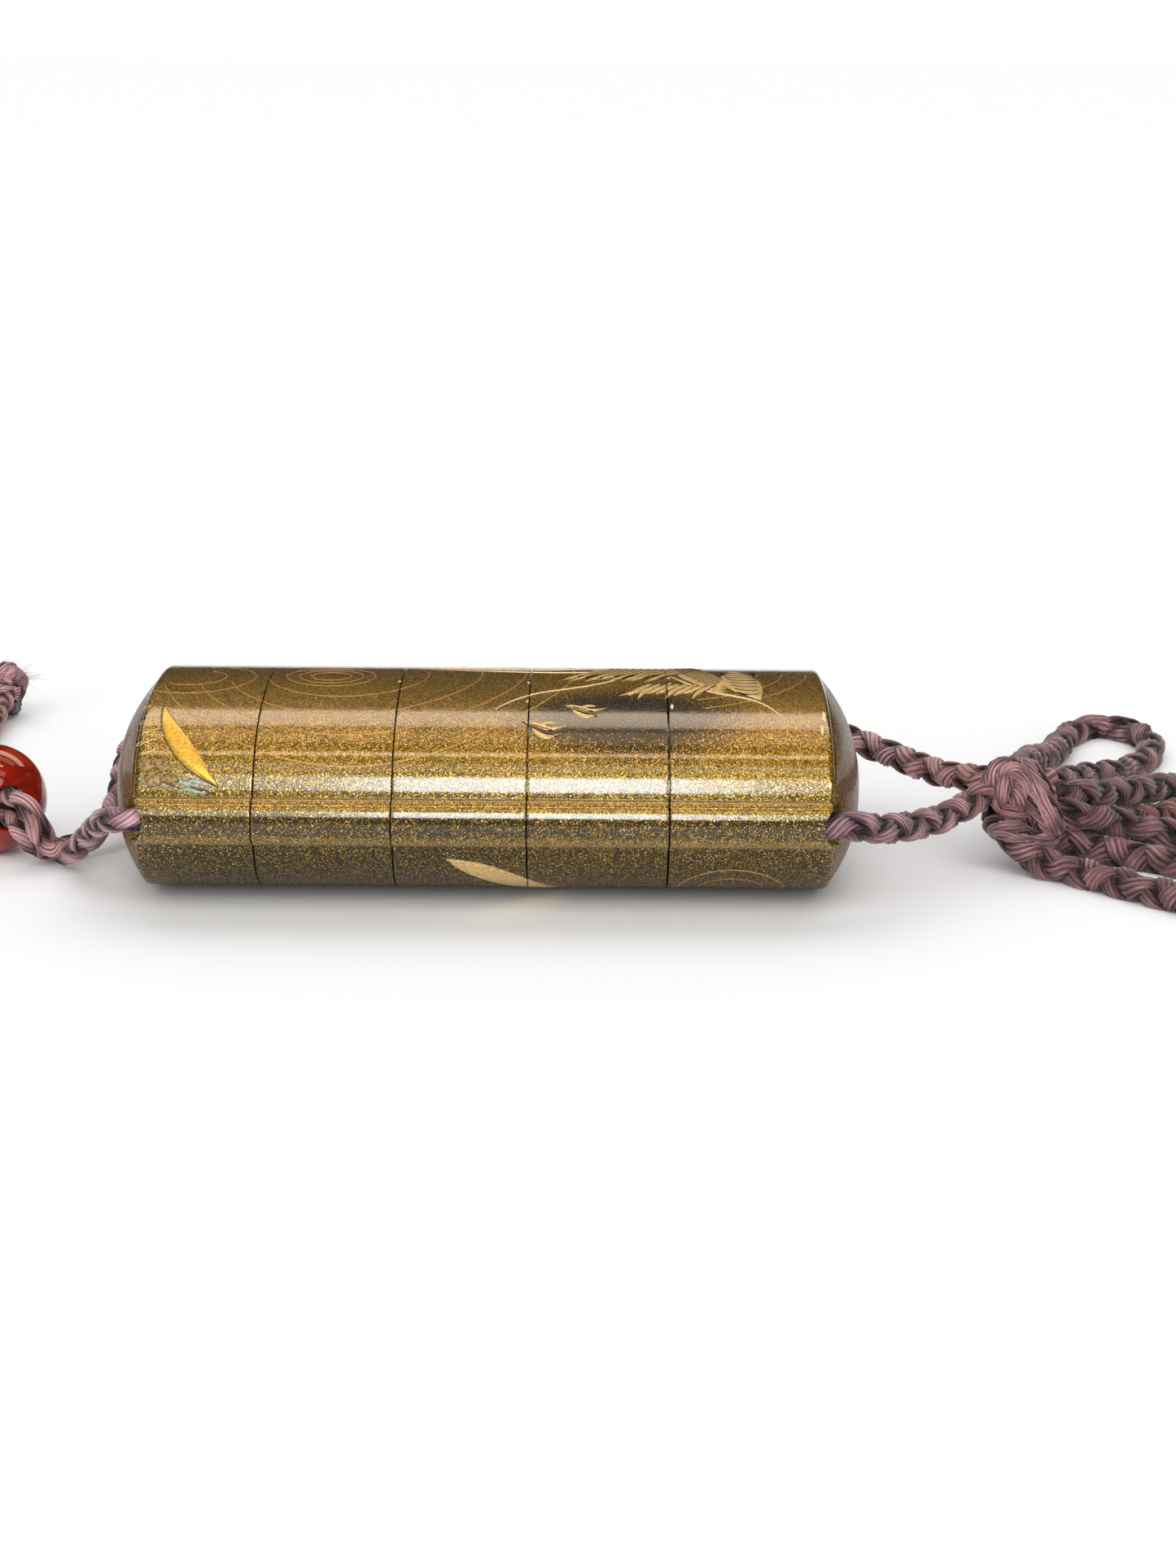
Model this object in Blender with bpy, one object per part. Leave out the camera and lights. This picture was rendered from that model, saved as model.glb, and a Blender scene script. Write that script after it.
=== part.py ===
"""Four-case inro with its lid, cord, bead and bow, lying on its broad side.

X runs along the stack from the lid (-X) to the bottom case (+X), Y across its width, Z up.
The origin is on the table, under the middle of the lacquered body.
All sizes below are in millimetres; MM turns them into metres.
"""
import math

import bmesh
import bpy
from mathutils import Vector

MM = 0.001

# Body: an oval section with a half-round cord runner along each narrow edge
HALF_WIDTH = 26.6
HALF_THICKNESS = 12.7
OVAL_POWER = 2.3
RUNNER_RADIUS = 3.0
FOOT_CUT = 0.15
LID_SKIRT = 14.6
CASE_HEIGHTS = (17.0, 16.5, 17.4, 20.3)
DOME_RISE = 4.5
DOME_POWER = 2.5
DOME_SPRING = 0.25
INNER_DOME_RISE = 3.5
RIM_ROUNDING = 0.8
RIM_STEP = 1.0

# Walls and fits
SOCKET_WALL = 1.6
RISER_WALL = 1.4
RISER_HEIGHT = 6.5
SOCKET_DEPTH = 6.9
FLOOR = 1.6
DOME_WALL = 2.4
FIT_GAP = 0.3
SEAM_GAP = 0.3

# Cord, its bores and the scoops where it leaves
CORD_RADIUS = 1.5
BORE_CLEARANCE = 0.4
BORE_WALL = 1.1
SCOOP_RADIUS = 3.4
SCOOP_DEPTH = 1.4
SCOOP_MARGIN = 0.7
CHANNEL_ENTRY = 4.3
LEAD_OUT = 2.0
CORD_END_GAP = 0.4

# Bead
BEAD_RADIUS = 7.2
BEAD_CENTRE = Vector((-66.0, 7.0))
BEAD_AXIS = Vector((0.5, -0.866, 0.0))
BEAD_BORE_RADIUS = 2.9
BEAD_CORD_RADIUS = 1.15
BEAD_CORD_OFFSET = 1.4
BEAD_CORD_SPREAD = 2.0
BEAD_SQUEEZE_REACH = 10.0

# Knots
BOW_KNOT_CENTRE = Vector((69.0, 2.4, 8.9))
BOW_KNOT_SIZE = Vector((4.9, 5.2, 5.5))
END_KNOT_CENTRE = Vector((-80.6, 92.6, 4.4))
END_KNOT_SIZE = Vector((5.6, 5.2, 4.1))
KNOT_CLEARANCE = 1.0
KNOT_WRAPS = 3
WRAP_DEPTH = 0.08
WRAP_SLANT = 5.0

# Facets
RUNNER_STEPS = 4
OVAL_STEPS = 9
DOME_SHARES = (1.0, 0.93, 0.8, 0.58, 0.3)
BORE_SIDES = 14
BEAD_RINGS = 12
BEAD_SIDES = 24
KNOT_RINGS = 12
KNOT_SIDES = 20
CORD_STEP = 3.0
CORD_BEND_STEP = 1.1
CORD_BEND_TURN = math.radians(22)
CORD_ROUNDNESS = 2
CURVE_SAMPLES = 16
HALVINGS = 40
SMOOTH_BELOW = math.radians(35)

BODY_HALF = (LID_SKIRT + sum(CASE_HEIGHTS)) / 2
AXIS_HEIGHT = HALF_THICKNESS - FOOT_CUT
BORE_RADIUS = CORD_RADIUS + BORE_CLEARANCE
SOCKET_HALF_WIDTH = HALF_WIDTH - BORE_RADIUS - BORE_WALL
SOCKET_HALF_THICKNESS = HALF_THICKNESS - SOCKET_WALL
BEAD_HEIGHT = BEAD_RADIUS


def clear_scene():
    """Start from an empty file."""
    for old in list(bpy.data.objects):
        bpy.data.objects.remove(old, do_unlink=True)


def finish_material(name, colour, roughness, metallic=0.0):
    """A Principled material in one plain colour."""
    material = bpy.data.materials.new(name)
    material.use_nodes = True
    shader = material.node_tree.nodes["Principled BSDF"]
    shader.inputs["Base Color"].default_value = (*colour, 1.0)
    shader.inputs["Roughness"].default_value = roughness
    shader.inputs["Metallic"].default_value = metallic
    return material


def add_mesh_object(name, bm, material):
    """Turn a bmesh in millimetres into a smooth-shaded object in metres."""
    bmesh.ops.recalc_face_normals(bm, faces=bm.faces)
    bmesh.ops.scale(bm, vec=Vector((MM, MM, MM)), verts=bm.verts)
    mesh = bpy.data.meshes.new(name)
    bm.to_mesh(mesh)
    bm.free()
    mesh.shade_smooth()
    mesh.set_sharp_from_angle(angle=SMOOTH_BELOW)
    mesh.materials.append(material)
    piece = bpy.data.objects.new(name, mesh)
    bpy.context.scene.collection.objects.link(piece)
    return piece


# Section outlines

def runner_meets_oval(inset):
    """Angle round the cord runner where its half circle meets the oval."""
    radius = RUNNER_RADIUS - inset
    low, high = 0.0, math.pi
    for _ in range(HALVINGS):
        middle = (low + high) / 2
        y = HALF_WIDTH + radius * math.cos(middle)
        z = radius * math.sin(middle)
        inside = oval_value(y, z, HALF_WIDTH - inset, HALF_THICKNESS - inset) < 1
        low, high = (low, middle) if inside else (middle, high)
    return high


def oval_value(y, z, half_width, half_thickness):
    """Below 1 inside the oval, above 1 outside it."""
    return abs(y / half_width) ** OVAL_POWER + abs(z / half_thickness) ** OVAL_POWER


def on_oval(direction, half_width, half_thickness):
    """The point of the oval that lies in a direction from its centre."""
    y, z = direction
    reach = oval_value(y, z, half_width, half_thickness) ** (-1 / OVAL_POWER)
    return (y * reach, z * reach)


def quarter_outline(inset):
    """Outer section from the middle of the cord runner up to the top of the oval."""
    radius = RUNNER_RADIUS - inset
    last = runner_meets_oval(inset)
    points = []
    for step in range(RUNNER_STEPS + 1):
        angle = last * step / RUNNER_STEPS
        points.append((HALF_WIDTH + radius * math.cos(angle), radius * math.sin(angle)))
    start = math.atan2(points[-1][1] / HALF_THICKNESS, points[-1][0] / HALF_WIDTH)
    for step in range(1, OVAL_STEPS + 1):
        angle = start + (math.pi / 2 - start) * step / OVAL_STEPS
        direction = (HALF_WIDTH * math.cos(angle), HALF_THICKNESS * math.sin(angle))
        points.append(on_oval(direction, HALF_WIDTH - inset, HALF_THICKNESS - inset))
    return points


def all_round(quarter):
    """Mirror a quarter of a section into the closed section."""
    upper = quarter + [(-y, z) for y, z in reversed(quarter[:-1])]
    return upper + [(y, -z) for y, z in reversed(upper[1:-1])]


def outer_ring(inset=0.0):
    """Outer section with the small flat that the body lies on."""
    lowest = FOOT_CUT - HALF_THICKNESS + inset
    return [(y, max(z, lowest)) for y, z in all_round(quarter_outline(inset))]


def oval_ring(half_width, half_thickness):
    """Plain oval with the same number of points as the outer section."""
    return [on_oval(point, half_width, half_thickness) for point in all_round(quarter_outline(0.0))]


def dome_rings(rim, outward, rise, half_width, half_thickness):
    """Ovals that climb from a rim to the last one before the middle of a dome."""
    rings = []
    for share in DOME_SHARES:
        height = rise * (1 - share ** DOME_POWER)
        rings.append((rim + outward * height, oval_ring(half_width * share, half_thickness * share)))
    return rings


# Lid and cases

def stack_rings(stations, first_tip, last_tip):
    """Skin a row of sections and close it at both ends with a point on the axis."""
    bm = bmesh.new()
    rows = []
    for x, ring in stations:
        rows.append([bm.verts.new((x, y, z + AXIS_HEIGHT)) for y, z in ring])
    count = len(rows[0])
    for row, following in zip(rows, rows[1:]):
        for index in range(count):
            after = (index + 1) % count
            bm.faces.new((row[index], row[after], following[after], following[index]))
    for row, tip_x in ((rows[0], first_tip), (rows[-1], last_tip)):
        tip = bm.verts.new((tip_x, 0.0, AXIS_HEIGHT))
        for index in range(count):
            bm.faces.new((row[index], row[(index + 1) % count], tip))
    return bm


def socket_ring():
    """Outline of the hollow that takes the standing rim of the piece below."""
    return oval_ring(SOCKET_HALF_WIDTH, SOCKET_HALF_THICKNESS)


def riser_ring(inset=0.0):
    """Outline of the standing rim that slides into the socket of the piece above."""
    smaller = FIT_GAP + inset
    return oval_ring(SOCKET_HALF_WIDTH - smaller, SOCKET_HALF_THICKNESS - smaller)


def closed_end(outward):
    """Rounded rim and dome at one end of the body, from the side wall to the dome's last oval."""
    rim = outward * BODY_HALF
    soft = RIM_ROUNDING * (1 - math.sqrt(0.5))
    stations = [
        (rim - outward * RIM_ROUNDING, outer_ring()),
        (rim - outward * soft, outer_ring(soft)),
        (rim, outer_ring(RIM_ROUNDING)),
    ]
    half_width = HALF_WIDTH - RIM_STEP
    half_thickness = HALF_THICKNESS - RIM_STEP
    return stations + dome_rings(rim + outward * DOME_SPRING, outward, DOME_RISE - DOME_SPRING,
                                 half_width, half_thickness)


def cut_cord_way(piece, cutters):
    """Take the cord bores and end scoops out of a piece."""
    for cutter in cutters:
        cut = piece.modifiers.new(cutter.name, "BOOLEAN")
        cut.operation = "DIFFERENCE"
        cut.solver = "EXACT"
        cut.object = cutter


def cylinder_pair(name, radius, places, axis, length):
    """Two plain cylinders used as one cutter, hidden in renders."""
    bm = bmesh.new()
    turn = Vector((0, 0, 1)).rotation_difference(axis).to_matrix()
    for place in places:
        made = bmesh.ops.create_cone(bm, cap_ends=True, segments=BORE_SIDES, radius1=radius,
                                     radius2=radius, depth=length)
        bmesh.ops.rotate(bm, verts=made["verts"], cent=(0, 0, 0), matrix=turn)
        bmesh.ops.translate(bm, verts=made["verts"], vec=place)
    cutter = add_mesh_object(name, bm, finish_material(name, (0.5, 0.5, 0.5), 0.5))
    cutter.hide_render = True
    cutter.display_type = "WIRE"
    return cutter


def make_cutters():
    """Bores through both cord runners, and the scooped hollow at each end of them."""
    sides = (-HALF_WIDTH, HALF_WIDTH)
    bore_length = 2 * (BODY_HALF + DOME_RISE)
    bores = cylinder_pair("cutter_bores", BORE_RADIUS,
                          [Vector((0, y, AXIS_HEIGHT)) for y in sides],
                          Vector((1, 0, 0)), bore_length)
    inner_edge = HALF_WIDTH - BORE_RADIUS - SCOOP_MARGIN
    outer_edge = HALF_WIDTH + 2 * RUNNER_RADIUS
    scoops = {}
    for end in (-1, 1):
        x = end * (BODY_HALF + SCOOP_RADIUS - SCOOP_DEPTH)
        places = [Vector((x, math.copysign((inner_edge + outer_edge) / 2, y), AXIS_HEIGHT))
                  for y in sides]
        scoops[end] = cylinder_pair(f"cutter_scoops_{'lid' if end < 0 else 'base'}",
                                    SCOOP_RADIUS, places, Vector((0, 1, 0)),
                                    outer_edge - inner_edge)
    return bores, scoops


def make_lid(lacquer, bores, scoops):
    """Hollow domed cap, open towards the first case."""
    seam = -BODY_HALF + LID_SKIRT - SEAM_GAP / 2
    ceiling = -BODY_HALF + DOME_WALL
    inside = dome_rings(ceiling, -1, INNER_DOME_RISE, SOCKET_HALF_WIDTH,
                        SOCKET_HALF_THICKNESS)
    stations = list(reversed(inside)) + [(seam, socket_ring()), (seam, outer_ring())]
    stations += closed_end(-1)
    bm = stack_rings(stations, ceiling - INNER_DOME_RISE, -BODY_HALF - DOME_RISE)
    lid = add_mesh_object("lid", bm, lacquer("lid"))
    cut_cord_way(lid, (bores, scoops[-1]))
    return lid


def make_case(number, upper_seam, height, lacquer, bores, scoops):
    """A case: cup with a standing rim towards the lid, and a socket or a domed bottom below."""
    is_bottom = number == len(CASE_HEIGHTS)
    shoulder = upper_seam + SEAM_GAP / 2
    riser_top = upper_seam - RISER_HEIGHT
    lower_seam = upper_seam + height - SEAM_GAP / 2
    if is_bottom:
        inside = dome_rings(BODY_HALF - DOME_WALL, 1, INNER_DOME_RISE,
                            SOCKET_HALF_WIDTH - FIT_GAP - RISER_WALL,
                            SOCKET_HALF_THICKNESS - FIT_GAP - RISER_WALL)
        first_tip = BODY_HALF - DOME_WALL + INNER_DOME_RISE
        stations = list(reversed(inside))
    else:
        floor_below = upper_seam + height - SOCKET_DEPTH
        first_tip = floor_below - FLOOR
        stations = [(first_tip, riser_ring(RISER_WALL))]
    stations += [
        (riser_top, riser_ring(RISER_WALL)),
        (riser_top, riser_ring()),
        (shoulder, riser_ring()),
        (shoulder, outer_ring()),
    ]
    if is_bottom:
        stations += closed_end(1)
        last_tip = BODY_HALF + DOME_RISE
    else:
        stations += [(lower_seam, outer_ring()), (lower_seam, socket_ring()),
                     (floor_below, socket_ring())]
        last_tip = floor_below
    name = f"case_{number}"
    case = add_mesh_object(name, stack_rings(stations, first_tip, last_tip), lacquer(name))
    cut_cord_way(case, (bores, scoops[1]) if is_bottom else (bores,))
    return case


# Bead

def make_bead(material):
    """Pierced ball, turned about its bore."""
    bm = bmesh.new()
    mouth = math.asin(BEAD_BORE_RADIUS / BEAD_RADIUS)
    profile = []
    for step in range(BEAD_RINGS + 1):
        angle = mouth + (math.pi - 2 * mouth) * step / BEAD_RINGS
        profile.append((BEAD_RADIUS * math.sin(angle), BEAD_RADIUS * math.cos(angle)))
    rows = []
    for radius, z in profile:
        rows.append([bm.verts.new((radius * math.cos(math.tau * side / BEAD_SIDES),
                                   radius * math.sin(math.tau * side / BEAD_SIDES), z))
                     for side in range(BEAD_SIDES)])
    for row, following in zip(rows, rows[1:] + rows[:1]):
        for side in range(BEAD_SIDES):
            after = (side + 1) % BEAD_SIDES
            bm.faces.new((row[side], row[after], following[after], following[side]))
    bead = add_mesh_object("ojime", bm, material)
    bead.rotation_mode = "QUATERNION"
    bead.rotation_quaternion = Vector((0, 0, 1)).rotation_difference(BEAD_AXIS)
    bead.location = Vector((*BEAD_CENTRE, BEAD_HEIGHT)) * MM
    return bead


# Cord

def through_bead(level):
    """Straight way through the bead, front to back; the two cords part outside it."""
    centre = Vector((*BEAD_CENTRE, BEAD_HEIGHT))
    way = BEAD_AXIS.normalized()
    outside = BEAD_RADIUS + 2 * CORD_RADIUS
    lift = Vector((0, 0, level * BEAD_CORD_OFFSET))
    wide_lift = Vector((0, 0, level * BEAD_CORD_SPREAD))
    return [centre + way * outside + wide_lift, centre + way * BEAD_RADIUS + lift, centre + lift,
            centre - way * BEAD_RADIUS + lift, centre - way * outside + wide_lift]


def leaving(end, side):
    """The first points of a cord: inside its bore, at the rim of the body, and straight out."""
    bore = Vector((0, side * HALF_WIDTH, AXIS_HEIGHT))
    return [bore + Vector((end * x, 0, 0))
            for x in (BODY_HALF - CHANNEL_ENTRY, BODY_HALF, BODY_HALF + LEAD_OUT)]


def cord_routes():
    """The way of each stretch of cord, as hand-chosen points in the order it runs."""
    free = {
        "cord_lid_near": [
            (-47.4, -21.0, 11.2), (-49.0, -14.6, 8.9), (-51.0, -8.8, 6.2), (-53.4, -4.0, 3.4),
            (-55.8, -1.6, 1.9), (-57.2, -3.0, 4.6), (-58.4, -4.6, 8.0),
            *through_bead(1),
            (-74.4, 22.6, 6.0), (-76.6, 30.0, 2.4), (-78.6, 39.0, 1.6), (-80.8, 52.0, 1.6),
            (-82.6, 68.0, 1.6), (-83.2, 80.0, 2.2), (-82.6, 90.0, 3.8)],
        "cord_lid_far": [
            (-49.4, 23.6, 11.9), (-49.8, 16.6, 10.0), (-49.6, 10.4, 7.8), (-50.0, 6.0, 5.0),
            (-52.4, 4.0, 2.4), (-56.0, 3.8, 1.5), (-58.8, 0.2, 1.9), (-59.8, -2.8, 3.8),
            *through_bead(-1),
            (-72.4, 21.0, 3.0), (-72.6, 28.0, 1.7), (-74.0, 38.0, 1.6), (-76.4, 50.0, 1.6),
            (-78.2, 66.0, 1.6), (-78.4, 80.0, 2.2), (-78.4, 90.0, 3.8)],
        "cord_base_near": [
            (46.4, -25.4, 11.9), (50.1, -21.0, 10.7), (53.4, -16.5, 10.1), (56.5, -12.0, 9.6),
            (59.3, -8.0, 9.8), (61.9, -4.5, 10.2), (64.2, -1.4, 10.8), (67.0, 1.0, 11.0)],
        "cord_base_far": [
            (47.6, 26.9, 12.2), (51.0, 26.0, 11.2), (53.9, 23.0, 10.6), (56.6, 18.5, 10.2),
            (59.0, 14.5, 10.1), (61.2, 11.0, 10.3), (63.4, 7.5, 10.8), (65.4, 4.8, 11.2),
            (67.4, 3.0, 11.2)],
        "bow_loop_back": [
            (69.2, 3.4, 12.2), (70.0, 9.0, 12.2), (72.6, 20.0, 10.6), (75.6, 33.0, 7.8),
            (78.8, 48.0, 4.8), (82.0, 63.0, 2.3), (84.8, 75.6, 1.6), (88.8, 84.0, 1.6),
            (95.6, 83.6, 1.6), (98.0, 74.0, 1.6), (96.6, 65.0, 1.6), (93.4, 56.0, 1.8),
            (89.4, 47.6, 2.7), (85.0, 38.6, 4.2), (80.8, 28.0, 6.2), (77.0, 17.0, 8.2),
            (73.6, 8.6, 9.8), (70.6, 4.0, 10.4)],
        "bow_loop_middle": [
            (70.6, 2.0, 10.2), (74.4, 3.4, 9.6), (78.4, 8.0, 8.5), (83.2, 15.0, 7.2),
            (88.2, 23.0, 5.8), (93.0, 31.0, 4.4), (98.0, 38.4, 2.8), (103.4, 41.6, 1.8),
            (107.0, 32.4, 1.6), (106.4, 23.6, 1.6), (102.0, 17.0, 1.6), (96.4, 13.8, 1.6),
            (91.6, 12.2, 1.9), (87.6, 10.4, 3.1), (83.2, 7.4, 4.8), (78.6, 3.6, 6.5),
            (74.4, 1.4, 7.7), (70.6, 1.6, 8.2)],
        "bow_loop_front": [
            (70.6, 2.8, 5.6), (74.2, 2.6, 3.6), (78.0, 4.2, 2.3), (81.8, 4.0, 1.7),
            (86.0, 1.2, 1.6), (90.2, -2.8, 1.6), (96.4, -6.6, 1.6), (100.8, -14.0, 1.6),
            (98.6, -22.6, 1.6), (91.4, -24.8, 1.6), (86.0, -18.6, 1.6), (81.6, -13.6, 1.6),
            (77.6, -8.8, 1.6), (73.8, -4.8, 1.7), (70.6, -2.8, 2.3), (68.2, -1.6, 3.9),
            (67.4, 0.4, 6.0), (68.6, 2.4, 7.5)],
        "bow_tail": [
            (70.6, 3.2, 7.0), (75.4, 6.6, 5.6), (80.4, 11.6, 4.2), (85.6, 17.4, 2.9),
            (90.6, 23.2, 1.8), (95.2, 28.6, 1.6), (99.6, 33.0, 1.6)],
    }
    starts = {
        "cord_lid_near": leaving(-1, -1),
        "cord_lid_far": leaving(-1, 1),
        "cord_base_near": leaving(1, -1),
        "cord_base_far": leaving(1, 1),
    }
    return {name: starts.get(name, []) + [Vector(point) for point in points]
            for name, points in free.items()}


def smooth_curve(points):
    """Points read off a cubic B-spline that follows the chosen points."""
    row = [2 * points[0] - points[1], *points, 2 * points[-1] - points[-2]]
    curve = []
    for a, b, c, d in zip(row, row[1:], row[2:], row[3:]):
        for step in range(CURVE_SAMPLES):
            t = step / CURVE_SAMPLES
            curve.append(((1 - t) ** 3 * a + (3 * t ** 3 - 6 * t ** 2 + 4) * b
                          + (1 + 3 * t + 3 * t ** 2 - 3 * t ** 3) * c + t ** 3 * d) / 6)
    curve.append(points[-1])
    return curve


def inside_knot(point, centre, size):
    """Whether a cord that has come this far has reached a knot."""
    grown = [half + KNOT_CLEARANCE for half in size]
    return sum(((p - c) / g) ** 2 for p, c, g in zip(point, centre, grown)) < 1


def clip_at_knots(curve):
    """Drop what runs inside the bow knot or the end knot."""
    knots = ((BOW_KNOT_CENTRE, BOW_KNOT_SIZE), (END_KNOT_CENTRE, END_KNOT_SIZE))
    return [point for point in curve
            if not any(inside_knot(point, centre, size) for centre, size in knots)]


def passes_edge(before, point):
    """Whether the cord leaves the body's rim, or starts or stops being squeezed, right here."""
    leaves_body = abs(before.x) < BODY_HALF <= abs(point.x)
    return leaves_body or cord_radius_at(before) != cord_radius_at(point)


def thin_out(curve):
    """Keep a point every few diameters, and more of them where the cord bends."""
    diameter = 2 * CORD_RADIUS
    kept = [curve[0]]
    last_way = (curve[1] - curve[0]).normalized()
    for before, point in zip(curve, curve[1:]):
        gone = (point - kept[-1]).length
        way = (point - before).normalized()
        turned = gone > CORD_BEND_STEP * diameter and way.angle(last_way) > CORD_BEND_TURN
        if gone > CORD_STEP * diameter or turned or passes_edge(before, point):
            kept.append(point)
            last_way = way
    if (curve[-1] - kept[-1]).length < diameter:
        kept.pop()
    return kept + [curve[-1]]


def cord_radius_at(point):
    """The cord is squeezed where it goes through the bead."""
    to_bead = point - Vector((*BEAD_CENTRE, BEAD_HEIGHT))
    return BEAD_CORD_RADIUS if to_bead.length < BEAD_SQUEEZE_REACH else CORD_RADIUS


def make_cord(name, points, material):
    """A round cord along its points, closed at both ends."""
    data = bpy.data.curves.new(name, "CURVE")
    data.dimensions = "3D"
    data.bevel_depth = CORD_RADIUS * MM
    data.bevel_resolution = CORD_ROUNDNESS
    data.use_fill_caps = True
    spline = data.splines.new("POLY")
    spline.points.add(len(points) - 1)
    for target, point in zip(spline.points, points):
        target.co = (*(point * MM), 1.0)
        target.radius = cord_radius_at(point) / CORD_RADIUS
    data.materials.append(material)
    cord = bpy.data.objects.new(name, data)
    bpy.context.scene.collection.objects.link(cord)
    return cord


def make_cords(silk):
    """Every free stretch of cord, and the two stretches inside the body."""
    for name, route in cord_routes().items():
        make_cord(name, thin_out(clip_at_knots(smooth_curve(route))), silk(name))
    half = BODY_HALF - CHANNEL_ENTRY - CORD_END_GAP
    for side, name in ((-1, "cord_channel_near"), (1, "cord_channel_far")):
        ends = [Vector((x, side * HALF_WIDTH, AXIS_HEIGHT)) for x in (-half, half)]
        make_cord(name, ends, silk(name))


# Knots

def make_knot(name, centre, size, material):
    """A lump of wrapped cord: an ellipsoid with slanting ridges round it."""
    bm = bmesh.new()
    bmesh.ops.create_uvsphere(bm, u_segments=KNOT_SIDES, v_segments=KNOT_RINGS, radius=1.0)
    for vert in bm.verts:
        turn = math.atan2(vert.co.z, vert.co.y)
        ridge = math.cos(KNOT_WRAPS * turn + WRAP_SLANT * vert.co.x) * (1 - vert.co.x ** 2)
        swell = 1 - WRAP_DEPTH * (1 - ridge) / 2
        vert.co = Vector([v * s * swell + c for v, s, c in zip(vert.co, size, centre)])
    return add_mesh_object(name, bm, material)


def build():
    clear_scene()

    def lacquer(name):
        return finish_material(f"gold_lacquer_{name}", (0.38, 0.27, 0.10), 0.32, 0.55)

    def silk(name):
        return finish_material(f"plum_silk_{name}", (0.22, 0.13, 0.14), 0.85)

    bores, scoops = make_cutters()
    make_lid(lacquer, bores, scoops)
    seam = -BODY_HALF + LID_SKIRT
    for number, height in enumerate(CASE_HEIGHTS, start=1):
        make_case(number, seam, height, lacquer, bores, scoops)
        seam += height
    make_bead(finish_material("carnelian", (0.45, 0.05, 0.02), 0.12))
    make_cords(silk)
    make_knot("bow_knot", BOW_KNOT_CENTRE, BOW_KNOT_SIZE, silk("bow_knot"))
    make_knot("end_knot", END_KNOT_CENTRE, END_KNOT_SIZE, silk("end_knot"))


build()
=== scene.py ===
"""Four-case inro lying on its broad side, with its plaited silk cord, stone bead and bow."""
import math
import random

import bmesh
import bpy
from mathutils import Matrix, Vector


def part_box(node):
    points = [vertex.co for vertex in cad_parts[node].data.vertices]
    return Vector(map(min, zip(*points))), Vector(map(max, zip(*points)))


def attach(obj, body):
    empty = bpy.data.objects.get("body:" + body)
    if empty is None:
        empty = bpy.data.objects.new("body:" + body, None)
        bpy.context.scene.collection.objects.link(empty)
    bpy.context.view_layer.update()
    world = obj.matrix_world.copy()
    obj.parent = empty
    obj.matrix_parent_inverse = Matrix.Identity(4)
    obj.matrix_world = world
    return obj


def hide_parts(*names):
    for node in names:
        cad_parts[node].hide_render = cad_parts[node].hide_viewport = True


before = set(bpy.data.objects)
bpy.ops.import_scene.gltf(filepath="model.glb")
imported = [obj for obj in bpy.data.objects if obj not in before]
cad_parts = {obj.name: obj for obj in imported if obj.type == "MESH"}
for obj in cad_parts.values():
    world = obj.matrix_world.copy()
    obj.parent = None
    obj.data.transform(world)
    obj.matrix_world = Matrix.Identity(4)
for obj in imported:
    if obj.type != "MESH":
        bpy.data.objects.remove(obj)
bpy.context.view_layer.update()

# Camera: a long lens near table height, looking along +Y and a little down at the stack's narrow
# edge. The picture is taller than wide, so the 36 mm side of the sensor is the upright one.
MM = 0.001
VIEW_ELEVATION = math.radians(13.0)
VIEW_ROLL = math.radians(0.43)
VIEW_DISTANCE = 441.2 * MM
VIEW_CENTRE = Vector((12.66, -0.3, 11.41)) * MM
FOCAL_LENGTH = 78.1
SENSOR_HEIGHT = 36.0

bpy.ops.object.select_all(action="DESELECT")
bpy.ops.object.camera_add()
camera = bpy.context.object
camera.name = "camera"
camera.data.lens = FOCAL_LENGTH
camera.data.sensor_fit = "AUTO"
camera.data.sensor_width = SENSOR_HEIGHT
camera.data.clip_start = 0.01
camera.data.clip_end = 20.0
camera.matrix_world = (
    Matrix.Translation(VIEW_CENTRE)
    @ Matrix.Rotation(math.pi / 2 - VIEW_ELEVATION, 4, "X")
    @ Matrix.Rotation(VIEW_ROLL, 4, "Z")
    @ Matrix.Translation((0, 0, VIEW_DISTANCE))
)
bpy.context.scene.camera = camera

# Floor and light: a plain pale table in a white tent. Lamps and soft boxes in front, above and
# behind lay long bands on the lacquer, and broad lights give the soft shadows. In reflections the
# tent is dim, as a studio room is behind its lamps.


def srgb(code):
    """A hex colour as the eye sees it, turned to the linear values that shaders take."""
    shares = [int(code[place:place + 2], 16) / 255 for place in (0, 2, 4)]
    linear = [s / 12.92 if s <= 0.04045 else ((s + 0.055) / 1.055) ** 2.4 for s in shares]
    return (*linear, 1.0)


def add_node(tree, kind, inputs=None, stops=None, **settings):
    """Add a node with its settings, its input values or links, and the stops of a colour ramp."""
    made = tree.nodes.new("ShaderNode" + kind)
    for name, value in settings.items():
        setattr(made, name, value)
    for key, value in (inputs or {}).items():
        if isinstance(value, bpy.types.NodeSocket):
            tree.links.new(value, made.inputs[key])
        else:
            made.inputs[key].default_value = value
    if stops:
        ramp = made.color_ramp
        while len(ramp.elements) < len(stops):
            ramp.elements.new(1.0)
        for element, (place, colour) in zip(ramp.elements, stops):
            element.position = place
            element.color = colour
    return made


def new_finish(name, **values):
    """A material with the plain values of its Principled shader set."""
    material = bpy.data.materials.new(name)
    material.use_nodes = True
    tree = material.node_tree
    shader = tree.nodes["Principled BSDF"]
    for key, value in values.items():
        shader.inputs[key.replace("_", " ")].default_value = value
    return material, tree, shader


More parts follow.
